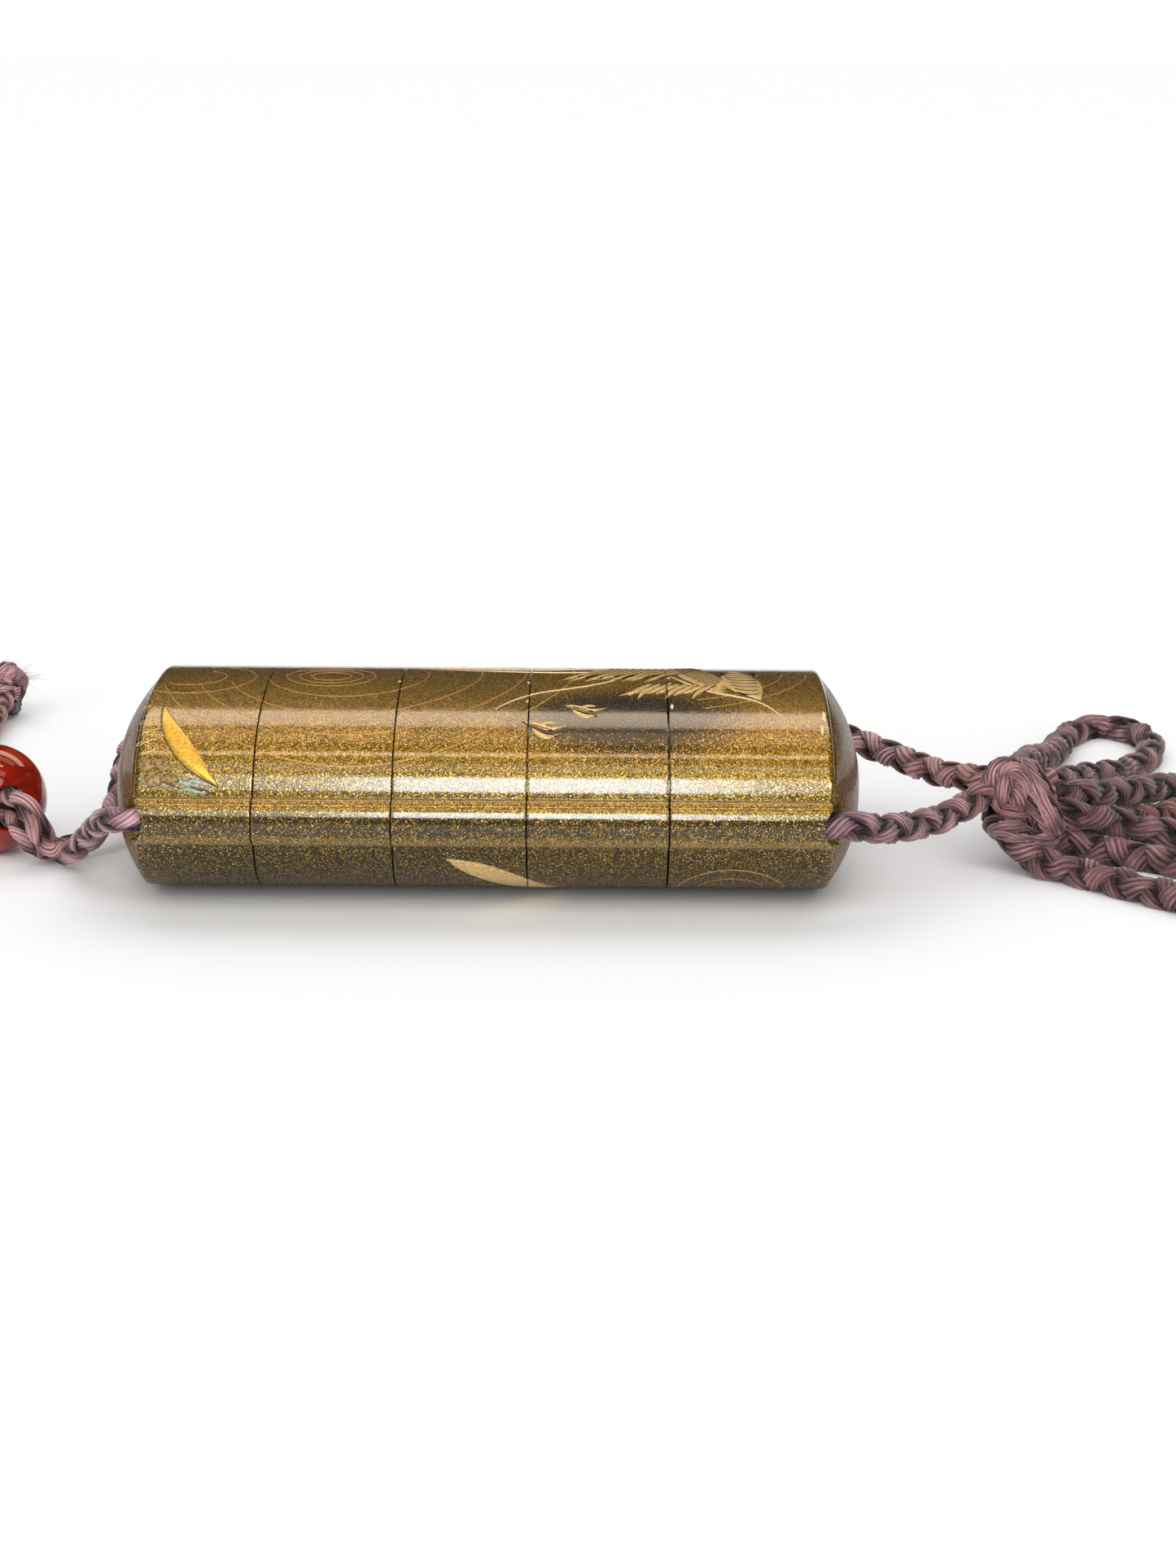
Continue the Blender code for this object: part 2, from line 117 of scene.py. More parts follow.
# uncoated paper: nearly white, matt all over
FLOOR_SIZE = 12.0
bpy.ops.object.select_all(action="DESELECT")
bpy.ops.mesh.primitive_plane_add(size=FLOOR_SIZE)
floor = bpy.context.object
floor.name = "floor"
paper, _, _ = new_finish("matt_white_paper", Base_Color=srgb("fbfbfb"), Roughness=0.9,
                         Specular_IOR_Level=0.1)
floor.data.materials.append(paper)

TENT_LIGHT = 0.30
TENT_SEEN = 1.10
TENT_IN_REFLECTIONS = 0.02
world = bpy.data.worlds.new("white_tent")
bpy.context.scene.world = world
world.use_nodes = True
sky = world.node_tree
seen = add_node(sky, "LightPath")
direct = add_node(sky, "MapRange", {
    "Value": seen.outputs["Is Camera Ray"], "To Min": TENT_LIGHT, "To Max": TENT_SEEN})
strength = add_node(sky, "MapRange", {
    "Value": seen.outputs["Is Glossy Ray"], "To Min": direct.outputs["Result"],
    "To Max": TENT_IN_REFLECTIONS})
sky.links.new(strength.outputs["Result"], sky.nodes["Background"].inputs["Strength"])
sky.nodes["Background"].inputs["Color"].default_value = srgb("ffffff")


def add_broad_light(name, elevation, power, spread):
    """Even light from far away, with no gloss of its own. Over 90 degrees it comes from behind."""
    turn = math.radians(elevation)
    bpy.ops.object.light_add(type="SUN", rotation=(math.pi / 2 - turn, 0, 0))
    light = bpy.context.object
    light.name = name
    light.data.energy = power
    light.data.angle = math.radians(spread)
    light.visible_glossy = False


add_broad_light("broad_back_light", 128, 1.20, 80)
add_broad_light("broad_front_light", 21, 3.80, 80)


BOX_DISTANCE = 0.6
BODY_MIDDLE = 12 * MM


def add_soft_box(name, angle, across, width, height, power, colour="ffffff"):
    """A lamp that shows in the gloss alone, at an angle above the table on the near side."""
    turn = math.radians(angle)
    bpy.ops.object.light_add(type="AREA")
    box = bpy.context.object
    box.name = name
    box.data.shape = "RECTANGLE"
    box.data.size = width
    box.data.size_y = height
    box.data.energy = power
    box.data.color = srgb(colour)[:3]
    box.location = (across, -BOX_DISTANCE * math.cos(turn),
                    BOX_DISTANCE * math.sin(turn) + BODY_MIDDLE)
    aim = Vector((across, 0.0, BODY_MIDDLE)) - box.location
    box.rotation_mode = "QUATERNION"
    box.rotation_quaternion = aim.to_track_quat("-Z", "Y")
    box.visible_diffuse = False


add_soft_box("front_lamp", 44, 0.0, 0.11, 0.26, 1.05, "f0f6ff")
add_soft_box("front_soft_box", 46, 0.02, 0.50, 0.28, 1.20, "f4f8ff")
add_soft_box("upper_front_box", 72, 0.02, 0.50, 0.13, 0.26)
add_soft_box("overhead_strip", 91, -0.06, 0.42, 0.045, 0.46, "ffe0b0")
add_soft_box("upper_back_box", 112, -0.05, 0.70, 0.14, 0.42, "ffd8a8")
add_soft_box("back_soft_box", 131, -0.02, 0.80, 0.16, 1.30, "ffe6cc")
bpy.context.scene.view_settings.view_transform = "Standard"

# Cord: four strands of fine plum silk yarn plaited round, 3 mm thick, limp and a little faded.
# Two strands turn one way and two the other, each over and then under, so that the side shows two
# rows of slanting leaves. The two halves run through the body, the bead and the bow.
HALF_WIDTH = 26.6
BODY_HALF = -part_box("lid")[0].x / MM - 4.5
AXIS_HEIGHT = 12.55
CORD_DIAMETER = 3.0
CHANNEL_ENTRY = 4.3
LEAD_OUT = 2.0
RING_STEP = 0.45
YARNS = 10
SIDES_PER_YARN = 3
STRAND_SIDES = YARNS * SIDES_PER_YARN
YARN_GROOVE = 0.15
YARN_TWIST = 0.33
LEAF_PITCH = 6.2
SLOW_SWELL = 0.07
FAST_SWELL = 0.05
TONE_DRIFT = 0.12
SUNK_SHADE = 0.38
RAISED_LIGHT = 0.46
STRAND_HALF_WIDTH = 1.04
STRAND_HALF_THICKNESS = 0.68
OVER_RADIUS = 0.86
UNDER_RADIUS = 0.28
YARN_CREST = 1.0
GROOVE_SHADE = (0.36, 0.82)
SLACK_GIRTH = 1.42
PLUMP_GIRTH = 1.28
LID_GIRTH = 1.1
ROSIER_OVER = 26.0
TABLE_GAP = 0.03
TO_CAMERA = Vector((0.0, -math.cos(VIEW_ELEVATION), math.sin(VIEW_ELEVATION)))

BEAD_RADIUS = 7.2
BEAD_CENTRE = Vector((-66.0, 7.0, 7.2))
BEAD_AXIS = Vector((0.5, -0.866, 0.0)).normalized()
BEAD_CORD_OFFSET = 1.4
BEAD_CORD_SPREAD = 2.0
BEAD_CORD_SHARE = 0.77
BEAD_SQUEEZE_REACH = 10.0


def make_silk():
    """Silk yarn: matt with a soft sheen. Painted light makes it pale on the crowns of the strands,
    and painted shade makes the grooves between strands and between yarns nearly black."""
    silk, tree, shader = new_finish("plaited_silk", Roughness=0.75, Sheen_Weight=0.25,
                                    Sheen_Roughness=0.4, Specular_IOR_Level=0.2)
    uv = add_node(tree, "UVMap", uv_map="along_strand")
    painted_shading = add_node(tree, "Attribute", attribute_name="painted_shading")
    ends = add_node(tree, "Attribute", attribute_name="faded")
    tone = add_node(tree, "Attribute", attribute_name="tone")
    place = add_node(tree, "TexCoord")
    # silk filaments are 0.02 mm thick; they are drawn 0.15 mm apart so that they show
    stretched = add_node(tree, "Mapping", {
        "Vector": uv.outputs["UV"], "Scale": (36.0, 0.6, 1.0)}, vector_type="POINT")
    filaments = add_node(tree, "TexNoise", {
        "Vector": stretched.outputs["Vector"], "Scale": 1.0, "Detail": 2.0, "Roughness": 0.6})
    # the dye has gone uneven in patches of about 4 mm
    patches = add_node(tree, "TexNoise", {
        "Vector": place.outputs["Object"], "Scale": 260.0, "Detail": 3.0, "Roughness": 0.6})
    shaded = add_node(tree, "Math", {
        0: tone.outputs["Fac"], 1: painted_shading.outputs["Fac"]}, operation="MULTIPLY_ADD")
    tree.links.new(painted_shading.outputs["Fac"], shaded.inputs[2])
    grain = add_node(tree, "MapRange", {
        "Value": filaments.outputs["Fac"], "From Min": 0.3, "From Max": 0.7,
        "To Min": -0.16, "To Max": 0.16})
    shaded = add_node(tree, "Math", {
        0: shaded.outputs["Value"], 1: grain.outputs["Result"]}, operation="ADD")
    base = add_node(tree, "ValToRGB", {"Fac": shaded.outputs["Value"]}, stops=[
        (0.0, srgb("140c0e")), (0.25, srgb("38282b")), (0.6, srgb("7c5d61")),
        (1.0, srgb("d0a9aa"))])
    hue = add_node(tree, "ValToRGB", {"Fac": ends.outputs["Fac"]}, stops=[
        (0.0, srgb("f0eaf4")), (0.35, srgb("f6f2f0")), (0.7, srgb("fff0ec")),
        (1.0, srgb("ffe4d4"))])
    tinted = add_node(tree, "Mix", {
        "Factor": 1.0, 6: base.outputs["Color"], 7: hue.outputs["Color"]},
        data_type="RGBA", blend_type="MULTIPLY")
    fade = add_node(tree, "MapRange", {
        "Value": patches.outputs["Fac"], "From Min": 0.3, "From Max": 0.7,
        "To Min": 0.72, "To Max": 1.12})
    coloured = add_node(tree, "Mix", {
        "Factor": 1.0, 6: tinted.outputs[2], 7: fade.outputs["Result"]},
        data_type="RGBA", blend_type="MULTIPLY")
    tree.links.new(coloured.outputs[2], shader.inputs["Base Color"])
    bump = add_node(tree, "Bump", {
        "Height": filaments.outputs["Fac"], "Strength": 0.5, "Distance": 0.05 * MM})
    tree.links.new(bump.outputs["Normal"], shader.inputs["Normal"])
    return silk


silk = make_silk()


ROUTE_SAMPLES = 24


def smooth_route(points):
    """Evenly spaced points, read off a cubic B-spline through the route."""
    row = [2 * points[0] - points[1], *points, 2 * points[-1] - points[-2]]
    curve = []
    for a, b, c, d in zip(row, row[1:], row[2:], row[3:]):
        for step in range(ROUTE_SAMPLES):
            t = step / ROUTE_SAMPLES
            curve.append(((1 - t) ** 3 * a + (3 * t ** 3 - 6 * t ** 2 + 4) * b
                          + (1 + 3 * t + 3 * t ** 2 - 3 * t ** 3) * c + t ** 3 * d) / 6)
    curve.append(points[-1])
    run = sum((q - p).length for p, q in zip(curve, curve[1:]))
    spacing = run / max(2, round(run / RING_STEP))
    even = [curve[0]]
    left = spacing
    for p, q in zip(curve, curve[1:]):
        way = q - p
        while way.length >= left:
            p = p + way.normalized() * left
            even.append(p)
            way = q - p
            left = spacing
        left -= way.length
    if (even[-1] - curve[-1]).length > spacing / 2:
        even.append(curve[-1])
    return even


def carried_frames(line, facing):
    """A side and an upright direction at each point, turned to the camera at one place."""
    ways = [(after - before).normalized()
            for before, after in zip([line[0], *line[:-1]], [*line[1:], line[-1]])]
    start = round(facing * (len(line) - 1))
    side = (TO_CAMERA - TO_CAMERA.dot(ways[start]) * ways[start]).normalized()
    sides = {start: side}
    for step, stop in ((1, len(line)), (-1, -1)):
        for place in range(start + step, stop, step):
            turn = ways[place - step].rotation_difference(ways[place])
            sides[place] = turn @ sides[place - step]
    return [(way, sides[place], way.cross(sides[place])) for place, way in enumerate(ways)]


def strand_line(line, frames, number, girth, pitch):
    """The middle of one strand: strands 0 and 1 turn one way, 2 and 3 the other."""
    way_round = 1 if number < 2 else -1
    rate = way_round * math.pi / pitch
    mean = (OVER_RADIUS + UNDER_RADIUS) / 2
    gone = 0.0
    middles = []
    for place, (centre, (_, side, up)) in enumerate(zip(line, frames)):
        if place:
            gone += (centre - line[place - 1]).length
        angle = rate * gone + number % 2 * math.pi - math.pi / 4
        out = side * math.cos(angle) + up * math.sin(angle)
        level = way_round * math.cos(2 * rate * gone)
        reach = (mean + (OVER_RADIUS - UNDER_RADIUS) / 2 * level) * girth(centre)
        middles.append((centre + out * reach, out, gone, 0.5 + 0.5 * level))
    return middles


def add_tube(rows, faces, rings):
    """Join rings of points into a tube with closed ends."""
    base = len(rows)
    sides = len(rings[0])
    for ring in rings:
        rows.extend(ring)
    for number in range(len(rings) - 1):
        low = base + number * sides
        for side in range(sides):
            after = (side + 1) % sides
            faces.append((low + side, low + after, low + sides + after, low + sides + side))
    faces.append(tuple(base + side for side in reversed(range(sides))))
    last = base + (len(rings) - 1) * sides
    faces.append(tuple(last + side for side in range(sides)))


def mesh_piece(name, rows, faces, material):
    """An object at the origin from points in millimetres."""
    mesh = bpy.data.meshes.new(name)
    mesh.from_pydata([point * MM for point in rows], [], faces)
    mesh.shade_smooth()
    mesh.materials.append(material)
    piece = bpy.data.objects.new(name, mesh)
    bpy.context.scene.collection.objects.link(piece)
    return piece


def spun(name, line, strands, girth, faded, seed, paler=0.0):
    """One piece of several strands. Each is a flattened bundle of twisted yarns, with a groove
    between them, that swells and thins and is pressed flat where it lies on the table."""
    chance = random.Random(seed)
    rows, faces, lengths = [], [], []
    layers = {"tone": [], "faded": [], "painted_shading": []}
    for number, middles in enumerate(strands):
        starts = [chance.uniform(0, math.tau) for _ in range(3)]
        twist = YARN_TWIST * (1 if number % 2 else -1)
        grooves = [chance.uniform(*GROOVE_SHADE) for _ in range(YARNS)]
        rings = []
        for place, (middle, out, gone, over) in enumerate(middles):
            before = middles[max(place - 1, 0)][0]
            after = middles[min(place + 1, len(middles) - 1)][0]
            way = (after - before).normalized()
            outward = (out - out.dot(way) * way).normalized()
            across = way.cross(outward)
            swell = (1 + SLOW_SWELL * math.sin(gone * 0.9 + starts[0])
                     + FAST_SWELL * math.sin(gone * 2.3 + starts[1]))
            size = girth(line[place]) * swell
            drift = math.sin(gone * 1.5 + starts[2]) * math.sin(gone * 0.37 + number)
            tone = paler + TONE_DRIFT * drift
            ring = []
            for side in range(STRAND_SIDES):
                angle = math.tau * side / STRAND_SIDES + twist * gone
                crest = side % SIDES_PER_YARN != 0
                wide = size * (YARN_CREST if crest else YARN_CREST - YARN_GROOVE)
                point = (middle + across * math.cos(angle) * STRAND_HALF_WIDTH * wide
                         + outward * math.sin(angle) * STRAND_HALF_THICKNESS * wide)
                point.z = max(point.z, TABLE_GAP)
                ring.append(point)
                # painted light and shade: each strand lighter on its top and where it lies over,
                # darker in the grooves between yarns
                painted_top_light = min(1.0, max(0.0, (math.sin(angle) + 0.35) / 1.1))
                layers["painted_shading"].append(painted_top_light * (SUNK_SHADE + RAISED_LIGHT * over)
                                        * (1.0 if crest else grooves[side // SIDES_PER_YARN]))
                layers["tone"].append(tone)
                layers["faded"].append(faded(line[place]))
            rings.append(ring)
            lengths.append(gone)
        add_tube(rows, faces, rings)
    piece = mesh_piece(name, rows, faces, silk)
    mesh = piece.data
    for key, values in layers.items():
        mesh.attributes.new(key, "FLOAT", "POINT").data.foreach_set("value", values)
    uv = mesh.uv_layers.new(name="along_strand")
    for face in mesh.polygons:
        corners = [mesh.loops[loop].vertex_index for loop in face.loop_indices]
        around = [corner % STRAND_SIDES for corner in corners]
        wraps = max(around) - min(around) > STRAND_SIDES / 2
        for loop, corner, turn in zip(face.loop_indices, corners, around):
            turn = STRAND_SIDES if wraps and turn == 0 else turn
            uv.data[loop].uv = (turn / STRAND_SIDES, lengths[corner // STRAND_SIDES])
    return piece


def plait(name, route, facing=0.5, girth=lambda point: 1.0, faded=lambda point: 0.4,
          pitch=LEAF_PITCH, seed=1, paler=0.0):
    """Plait four strands along a route."""
    line = smooth_route(route)
    frames = carried_frames(line, facing)
    strands = [strand_line(line, frames, number, girth, pitch) for number in range(4)]
    return spun(name, line, strands, girth, faded, seed, paler), line


def points(*rows):
    """Route points in millimetres."""
    return [Vector(row) for row in rows]


def leaving(end, side):
    """Inside its bore, at the rim of the body, and straight out."""
    bore = Vector((0.0, side * HALF_WIDTH, AXIS_HEIGHT))
    return [bore + Vector((end * x, 0.0, 0.0))
            for x in (BODY_HALF - CHANNEL_ENTRY, BODY_HALF, BODY_HALF + LEAD_OUT)]


def through_bead(level):
    """Straight way through the bead, front to back; the two cords part outside it."""
    outside = BEAD_RADIUS + CORD_DIAMETER
    lift = Vector((0.0, 0.0, level * BEAD_CORD_OFFSET))
    wide_lift = Vector((0.0, 0.0, level * BEAD_CORD_SPREAD))
    return [BEAD_CENTRE + BEAD_AXIS * outside + wide_lift,
            BEAD_CENTRE + BEAD_AXIS * BEAD_RADIUS + lift,
            BEAD_CENTRE + lift,
            BEAD_CENTRE - BEAD_AXIS * BEAD_RADIUS + lift,
            BEAD_CENTRE - BEAD_AXIS * outside + wide_lift]


def squeezed_in_bead(point):
    """The cord is thinner inside the bead, and swells again over a few millimetres."""
    away = (point - BEAD_CENTRE).length - BEAD_SQUEEZE_REACH
    return LID_GIRTH - (LID_GIRTH - BEAD_CORD_SHARE) * min(1.0, max(0.0, 0.5 - away / 3.0))


def loosened(point):
    """In the bow the plait is slack, so it is thicker."""
    return SLACK_GIRTH


def filled(point):
    """Just outside the body the plait is plump again."""
    return PLUMP_GIRTH


def faded_by_knot(point):
    """Bluish where it leaves the body, rosier towards the bow."""
    return min(1.0, max(0.0, (abs(point.x) - BODY_HALF) / ROSIER_OVER))


LID_NEAR = leaving(-1, -1) + points(
    (-47.4, -21.0, 11.2), (-49.0, -14.6, 8.9), (-51.0, -8.8, 6.2), (-53.0, -4.7, 3.6),
    (-54.4, -2.4, 1.9), (-56.6, -1.2, 2.0), (-58.0, -2.5, 4.4), (-58.7, -4.0, 7.6))
LID_NEAR += through_bead(1) + points(
    (-74.4, 22.6, 6.0), (-76.6, 30.0, 2.4), (-78.6, 39.0, 1.6), (-80.8, 52.0, 1.6),
    (-82.6, 68.0, 1.6), (-83.2, 80.0, 2.2), (-82.6, 90.0, 3.8))
LID_FAR = leaving(-1, 1) + points(
    (-49.4, 23.6, 11.9), (-49.8, 16.6, 10.0), (-49.6, 10.4, 7.8), (-50.0, 6.0, 5.0),
    (-52.4, 4.0, 2.4), (-56.0, 3.8, 1.5), (-58.8, 0.2, 1.9), (-59.8, -2.8, 3.8))
LID_FAR += through_bead(-1) + points(
    (-72.4, 21.0, 3.0), (-72.6, 28.0, 1.7), (-74.0, 38.0, 1.6), (-76.4, 50.0, 1.6),
    (-78.2, 66.0, 1.6), (-78.4, 80.0, 2.2), (-78.4, 90.0, 3.8))
BASE_NEAR = leaving(1, -1) + points(
    (46.4, -25.4, 11.9), (50.1, -21.0, 10.7), (53.4, -16.5, 10.1), (56.5, -12.0, 9.6),
    (59.3, -8.0, 9.8), (61.9, -4.5, 10.2), (64.2, -1.4, 10.8), (67.0, 1.0, 11.0))
BASE_FAR = leaving(1, 1) + points(
    (47.6, 26.9, 12.2), (51.0, 26.0, 11.2), (53.9, 23.0, 10.6), (56.6, 18.5, 10.2),
    (59.0, 14.5, 10.1), (61.2, 11.0, 10.3), (63.4, 7.5, 10.8), (65.4, 4.8, 11.2),
    (67.4, 3.0, 11.2))
LOOP_BACK = points(
    (69.2, 3.4, 12.2), (70.0, 9.0, 12.2), (72.6, 20.0, 10.6), (75.6, 33.0, 7.8),
    (78.8, 48.0, 4.8), (82.0, 63.0, 2.3), (84.8, 75.6, 1.6), (88.8, 84.0, 1.6),
    (95.6, 83.6, 1.6), (98.0, 74.0, 1.6), (96.6, 65.0, 1.6), (93.4, 56.0, 1.8),
    (89.4, 47.6, 2.7), (85.0, 38.6, 4.2), (80.8, 28.0, 6.2), (77.0, 17.0, 8.2),
    (73.6, 8.6, 9.8), (70.6, 4.0, 10.4))
LOOP_MIDDLE = points(
    (70.6, 2.0, 10.2), (74.4, 3.4, 9.6), (78.4, 8.0, 8.5), (83.2, 15.0, 7.2),
    (88.2, 23.0, 5.8), (93.0, 31.0, 4.4), (98.0, 38.4, 2.8), (103.4, 41.6, 1.8),
    (107.0, 32.4, 1.6), (106.4, 23.6, 1.6), (102.0, 17.0, 1.6), (96.4, 13.8, 1.6),
    (91.6, 12.2, 1.9), (87.6, 10.4, 3.1), (83.2, 7.4, 4.8), (78.6, 3.6, 6.5),
    (74.4, 1.4, 7.7), (70.6, 1.6, 8.2))
LOOP_FRONT = points(
    (70.6, 2.8, 5.6), (74.2, 2.6, 3.6), (78.0, 4.2, 2.3), (81.8, 4.0, 1.7),
    (86.0, 1.2, 1.6), (90.2, -2.8, 1.6), (96.4, -6.6, 1.6), (100.8, -14.0, 1.6),
    (98.6, -22.6, 1.6), (91.4, -24.8, 1.6), (86.0, -18.6, 1.6), (81.6, -13.6, 1.6),
    (77.6, -8.8, 1.6), (73.8, -4.8, 1.7), (70.6, -2.8, 2.3), (68.2, -1.6, 3.9),
    (67.4, 0.4, 6.0), (68.6, 2.4, 7.5))
TAIL = points(
    (70.6, 3.2, 7.0), (75.4, 6.6, 5.6), (80.4, 11.6, 4.2), (85.6, 17.4, 2.9),
    (90.6, 23.2, 1.8), (95.2, 28.6, 1.6), (99.6, 33.0, 1.6))


def lay_cord(name, route, exit_at, far_end, lay="loose", with_pieces=(), **look):
    """Plait a stretch and put it in place of its plain tube."""
    piece, line = plait(f"plaited_{name}", route, **look)
    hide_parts(name)
    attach(piece, "root")
    return piece


def rim_exit(end, side):
    """Where the cord leaves the body, at one end and on one narrow edge."""
    return Vector((end * BODY_HALF, side * HALF_WIDTH, AXIS_HEIGHT))


lay_cord("cord_base_near", BASE_NEAR, rim_exit(1, -1), "knot", girth=filled, faded=faded_by_knot,
         pitch=7.4, seed=4, paler=-0.06)
lay_cord("cord_base_far", BASE_FAR, rim_exit(1, 1), "knot", girth=filled, faded=faded_by_knot,
         pitch=6.8, seed=5, paler=0.18)
KNOT_EXIT = Vector((70.0, 2.4, 8.9))
# the bow's loops are set darker as painted shade of the packed bow
for number, (name, route, pitch, paler) in enumerate((
        ("bow_loop_back", LOOP_BACK, 12.0, -0.12), ("bow_loop_middle", LOOP_MIDDLE, 9.0, -0.26),
        ("bow_loop_front", LOOP_FRONT, 6.2, -0.24))):
    lay_cord(name, route, KNOT_EXIT, "knot", facing=0.1, girth=loosened, seed=10 + number,
             faded=lambda point: 0.6, pitch=pitch, paler=paler)
lay_cord("bow_tail", TAIL, KNOT_EXIT, "bare", girth=loosened, seed=14, faded=lambda point: 1.0,
         paler=-0.16)
for side, name in ((-1, "cord_channel_near"), (1, "cord_channel_far")):
    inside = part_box(name)[1].x / MM
    ends = [Vector((x * inside, side * HALF_WIDTH, AXIS_HEIGHT)) for x in (-1.0, -0.5, 0.5, 1.0)]
    lay_cord(name, ends, ends[0], "object", lay="taut", seed=20 + side)


# Knots: the cord's own strands drawn tight round each other, slacker and rosier than in the plait
# because they have been handled. Each wrap is a flat hank of parallel strands round a packed core.
def hank(name, route, centre, count, width, depth, lay=26.0, size=1.0, faded=0.9, seed=1,
         paler=-0.14):
    """A flat bundle of strands with a slow twist, its flat side turned away from the centre."""
    line = smooth_route(route)
    strands = [[] for _ in range(count)]
    gone = 0.0
    for place, point in enumerate(line):
        before, after = line[max(place - 1, 0)], line[min(place + 1, len(line) - 1)]
        gone += (point - before).length
        way = (after - before).normalized()
        away = point - centre
        outward = (away - away.dot(way) * way).normalized()
        across = way.cross(outward)
        for number, middles in enumerate(strands):
            angle = math.tau * (number / count + gone / lay)
            out = (across * math.cos(angle) * 0.5 + outward * math.sin(angle)).normalized()
            middles.append((point + across * math.cos(angle) * width / 2
                            + outward * math.sin(angle) * depth / 2, out, gone,
                            0.5 + 0.5 * math.sin(angle)))
    return spun(name, line, strands, lambda point: size, lambda point: faded, seed, paler)


FIBRE_RADIUS = 0.05
FIBRE_STEPS = 7
FIBRE_SIDES = 3
FIBRE_SCATTER = 0.9
FIBRE_LOWEST = 0.12


def loose_fibres(name, roots, way, spread, length, droop, count, seed, faded=1.0):
    """Broken silk filaments, thin tapering hairs, drawn three times too thick so that they show."""
    chance = random.Random(seed)
    rows, faces = [], []
    for _ in range(count):
        root = chance.choice(roots) + Vector([chance.uniform(-FIBRE_SCATTER, FIBRE_SCATTER)
                                              for _ in range(3)])
        lean = Vector([chance.gauss(0, spread) for _ in range(3)])
        curl = Vector([chance.gauss(0, spread) for _ in range(3)])
        reach = length * chance.uniform(0.4, 1.0)
        start = (way + lean).normalized()
        rings = []
        for step in range(FIBRE_STEPS):
            t = step / (FIBRE_STEPS - 1)
            middle = root + (start * t + curl * t * t * 0.6) * reach
            middle.z = max(middle.z - droop * t * t * reach, FIBRE_LOWEST)
            radius = FIBRE_RADIUS * (1.1 - t)
            ring = []
            for side in range(FIBRE_SIDES):
                angle = math.tau * side / FIBRE_SIDES
                ring.append(middle + Vector((0, math.cos(angle), math.sin(angle))) * radius)
            rings.append(ring)
        add_tube(rows, faces, rings)
    piece = mesh_piece(name, rows, faces, silk)
    for key, value in (("tone", 0.0), ("faded", faded), ("painted_shading", 0.8)):
        layer = piece.data.attributes.new(key, "FLOAT", "POINT")
        layer.data.foreach_set("value", [value] * len(rows))
    return piece


def pick(*pieces):
    """Select these pieces alone, the first one active."""
    bpy.ops.object.select_all(action="DESELECT")
    for piece in pieces:
        piece.select_set(True)
    bpy.context.view_layer.objects.active = pieces[0]


def joined(name, pieces, node):
    """One knot from its hanks, in place of the plain lump."""
    pick(*pieces)
    bpy.ops.object.join()
    knot = bpy.context.object
    knot.name = name
    knot.data.name = name
    if node:
        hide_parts(node)
    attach(knot, "root")
    return knot


BOW_CENTRE = Vector((69.0, 2.4, 8.9))
CORE = points((65.6, 1.8, 8.8), (67.2, 2.2, 8.9), (69.6, 2.4, 8.9), (71.4, 2.6, 8.8),
              (72.6, 2.6, 8.6))
BAND = points((70.2, 4.6, 13.0), (69.6, 1.8, 13.8), (69.8, -0.8, 13.0), (70.6, -2.5, 10.8),
              (71.7, -2.8, 8.4), (72.7, -1.8, 6.0), (73.0, 0.6, 4.6), (72.4, 3.6, 4.4),
              (71.4, 6.0, 6.2), (70.6, 6.8, 9.2), (70.2, 6.2, 11.6), (70.2, 4.4, 13.2))
ARCH = points((66.6, 2.2, 9.4), (65.0, -0.4, 10.2), (64.6, -1.8, 12.2), (65.2, -2.0, 14.2),
              (66.8, -2.1, 14.8), (68.3, -2.3, 13.4), (68.7, -2.8, 11.4), (68.0, -2.6, 9.6),
              (67.6, -0.6, 8.4))
INNER_ARCH = points((67.0, 1.0, 9.0), (65.6, -1.6, 9.4), (65.8, -2.9, 11.0), (66.6, -2.9, 12.8),
                    (67.4, -1.2, 13.4), (68.0, 1.4, 13.0))
LOWER = points((67.0, 0.8, 13.4), (66.5, 4.2, 12.9), (66.0, 6.8, 10.2), (66.2, 6.6, 6.8),
               (66.2, 3.8, 4.9), (65.6, 0.8, 5.2), (65.6, -1.8, 6.6), (67.0, -3.0, 6.4),
               (69.0, -3.2, 5.5), (71.0, -2.4, 4.7), (72.8, -0.4, 4.2))
FUZZY = points((66.0, 0.4, 9.8), (66.4, -2.4, 9.2), (67.8, -3.1, 8.8), (69.0, -1.6, 8.2))
joined("tied_bow_knot", [
    hank("core", CORE, BOW_CENTRE + Vector((0, 0, -40)), 9, 5.8, 6.4, lay=60.0, size=2.3, faded=0.7,
         seed=31),
    hank("band", BAND, BOW_CENTRE, 7, 3.2, 0.9, lay=30.0, size=0.98, faded=0.7, seed=32),
    hank("arch", ARCH, Vector((66.8, 3.0, 11.6)), 4, 1.5, 1.2, lay=9.0, size=0.95, faded=0.6, seed=33),
    hank("inner_arch", INNER_ARCH, BOW_CENTRE, 4, 1.6, 1.1, lay=8.0, size=0.9, faded=0.75, seed=34),
    hank("lower", LOWER, BOW_CENTRE, 6, 2.4, 0.9, lay=22.0, size=0.9, faded=0.45, seed=35),
    hank("fuzzy", FUZZY, BOW_CENTRE, 5, 1.6, 0.9, lay=10.0, size=0.75, faded=0.9, seed=36),
    loose_fibres("knot_fuzz", points((66.4, -2.6, 9.6), (67.6, -3.0, 9.0), (68.6, -2.6, 8.4)),
                 Vector((0.3, -0.5, 0.2)), 0.8, 2.2, 0.2, 70, 37),
], "bow_knot")

END_CENTRE = Vector((-80.6, 92.6, 4.4))


KNOT_FLATNESS = 0.74


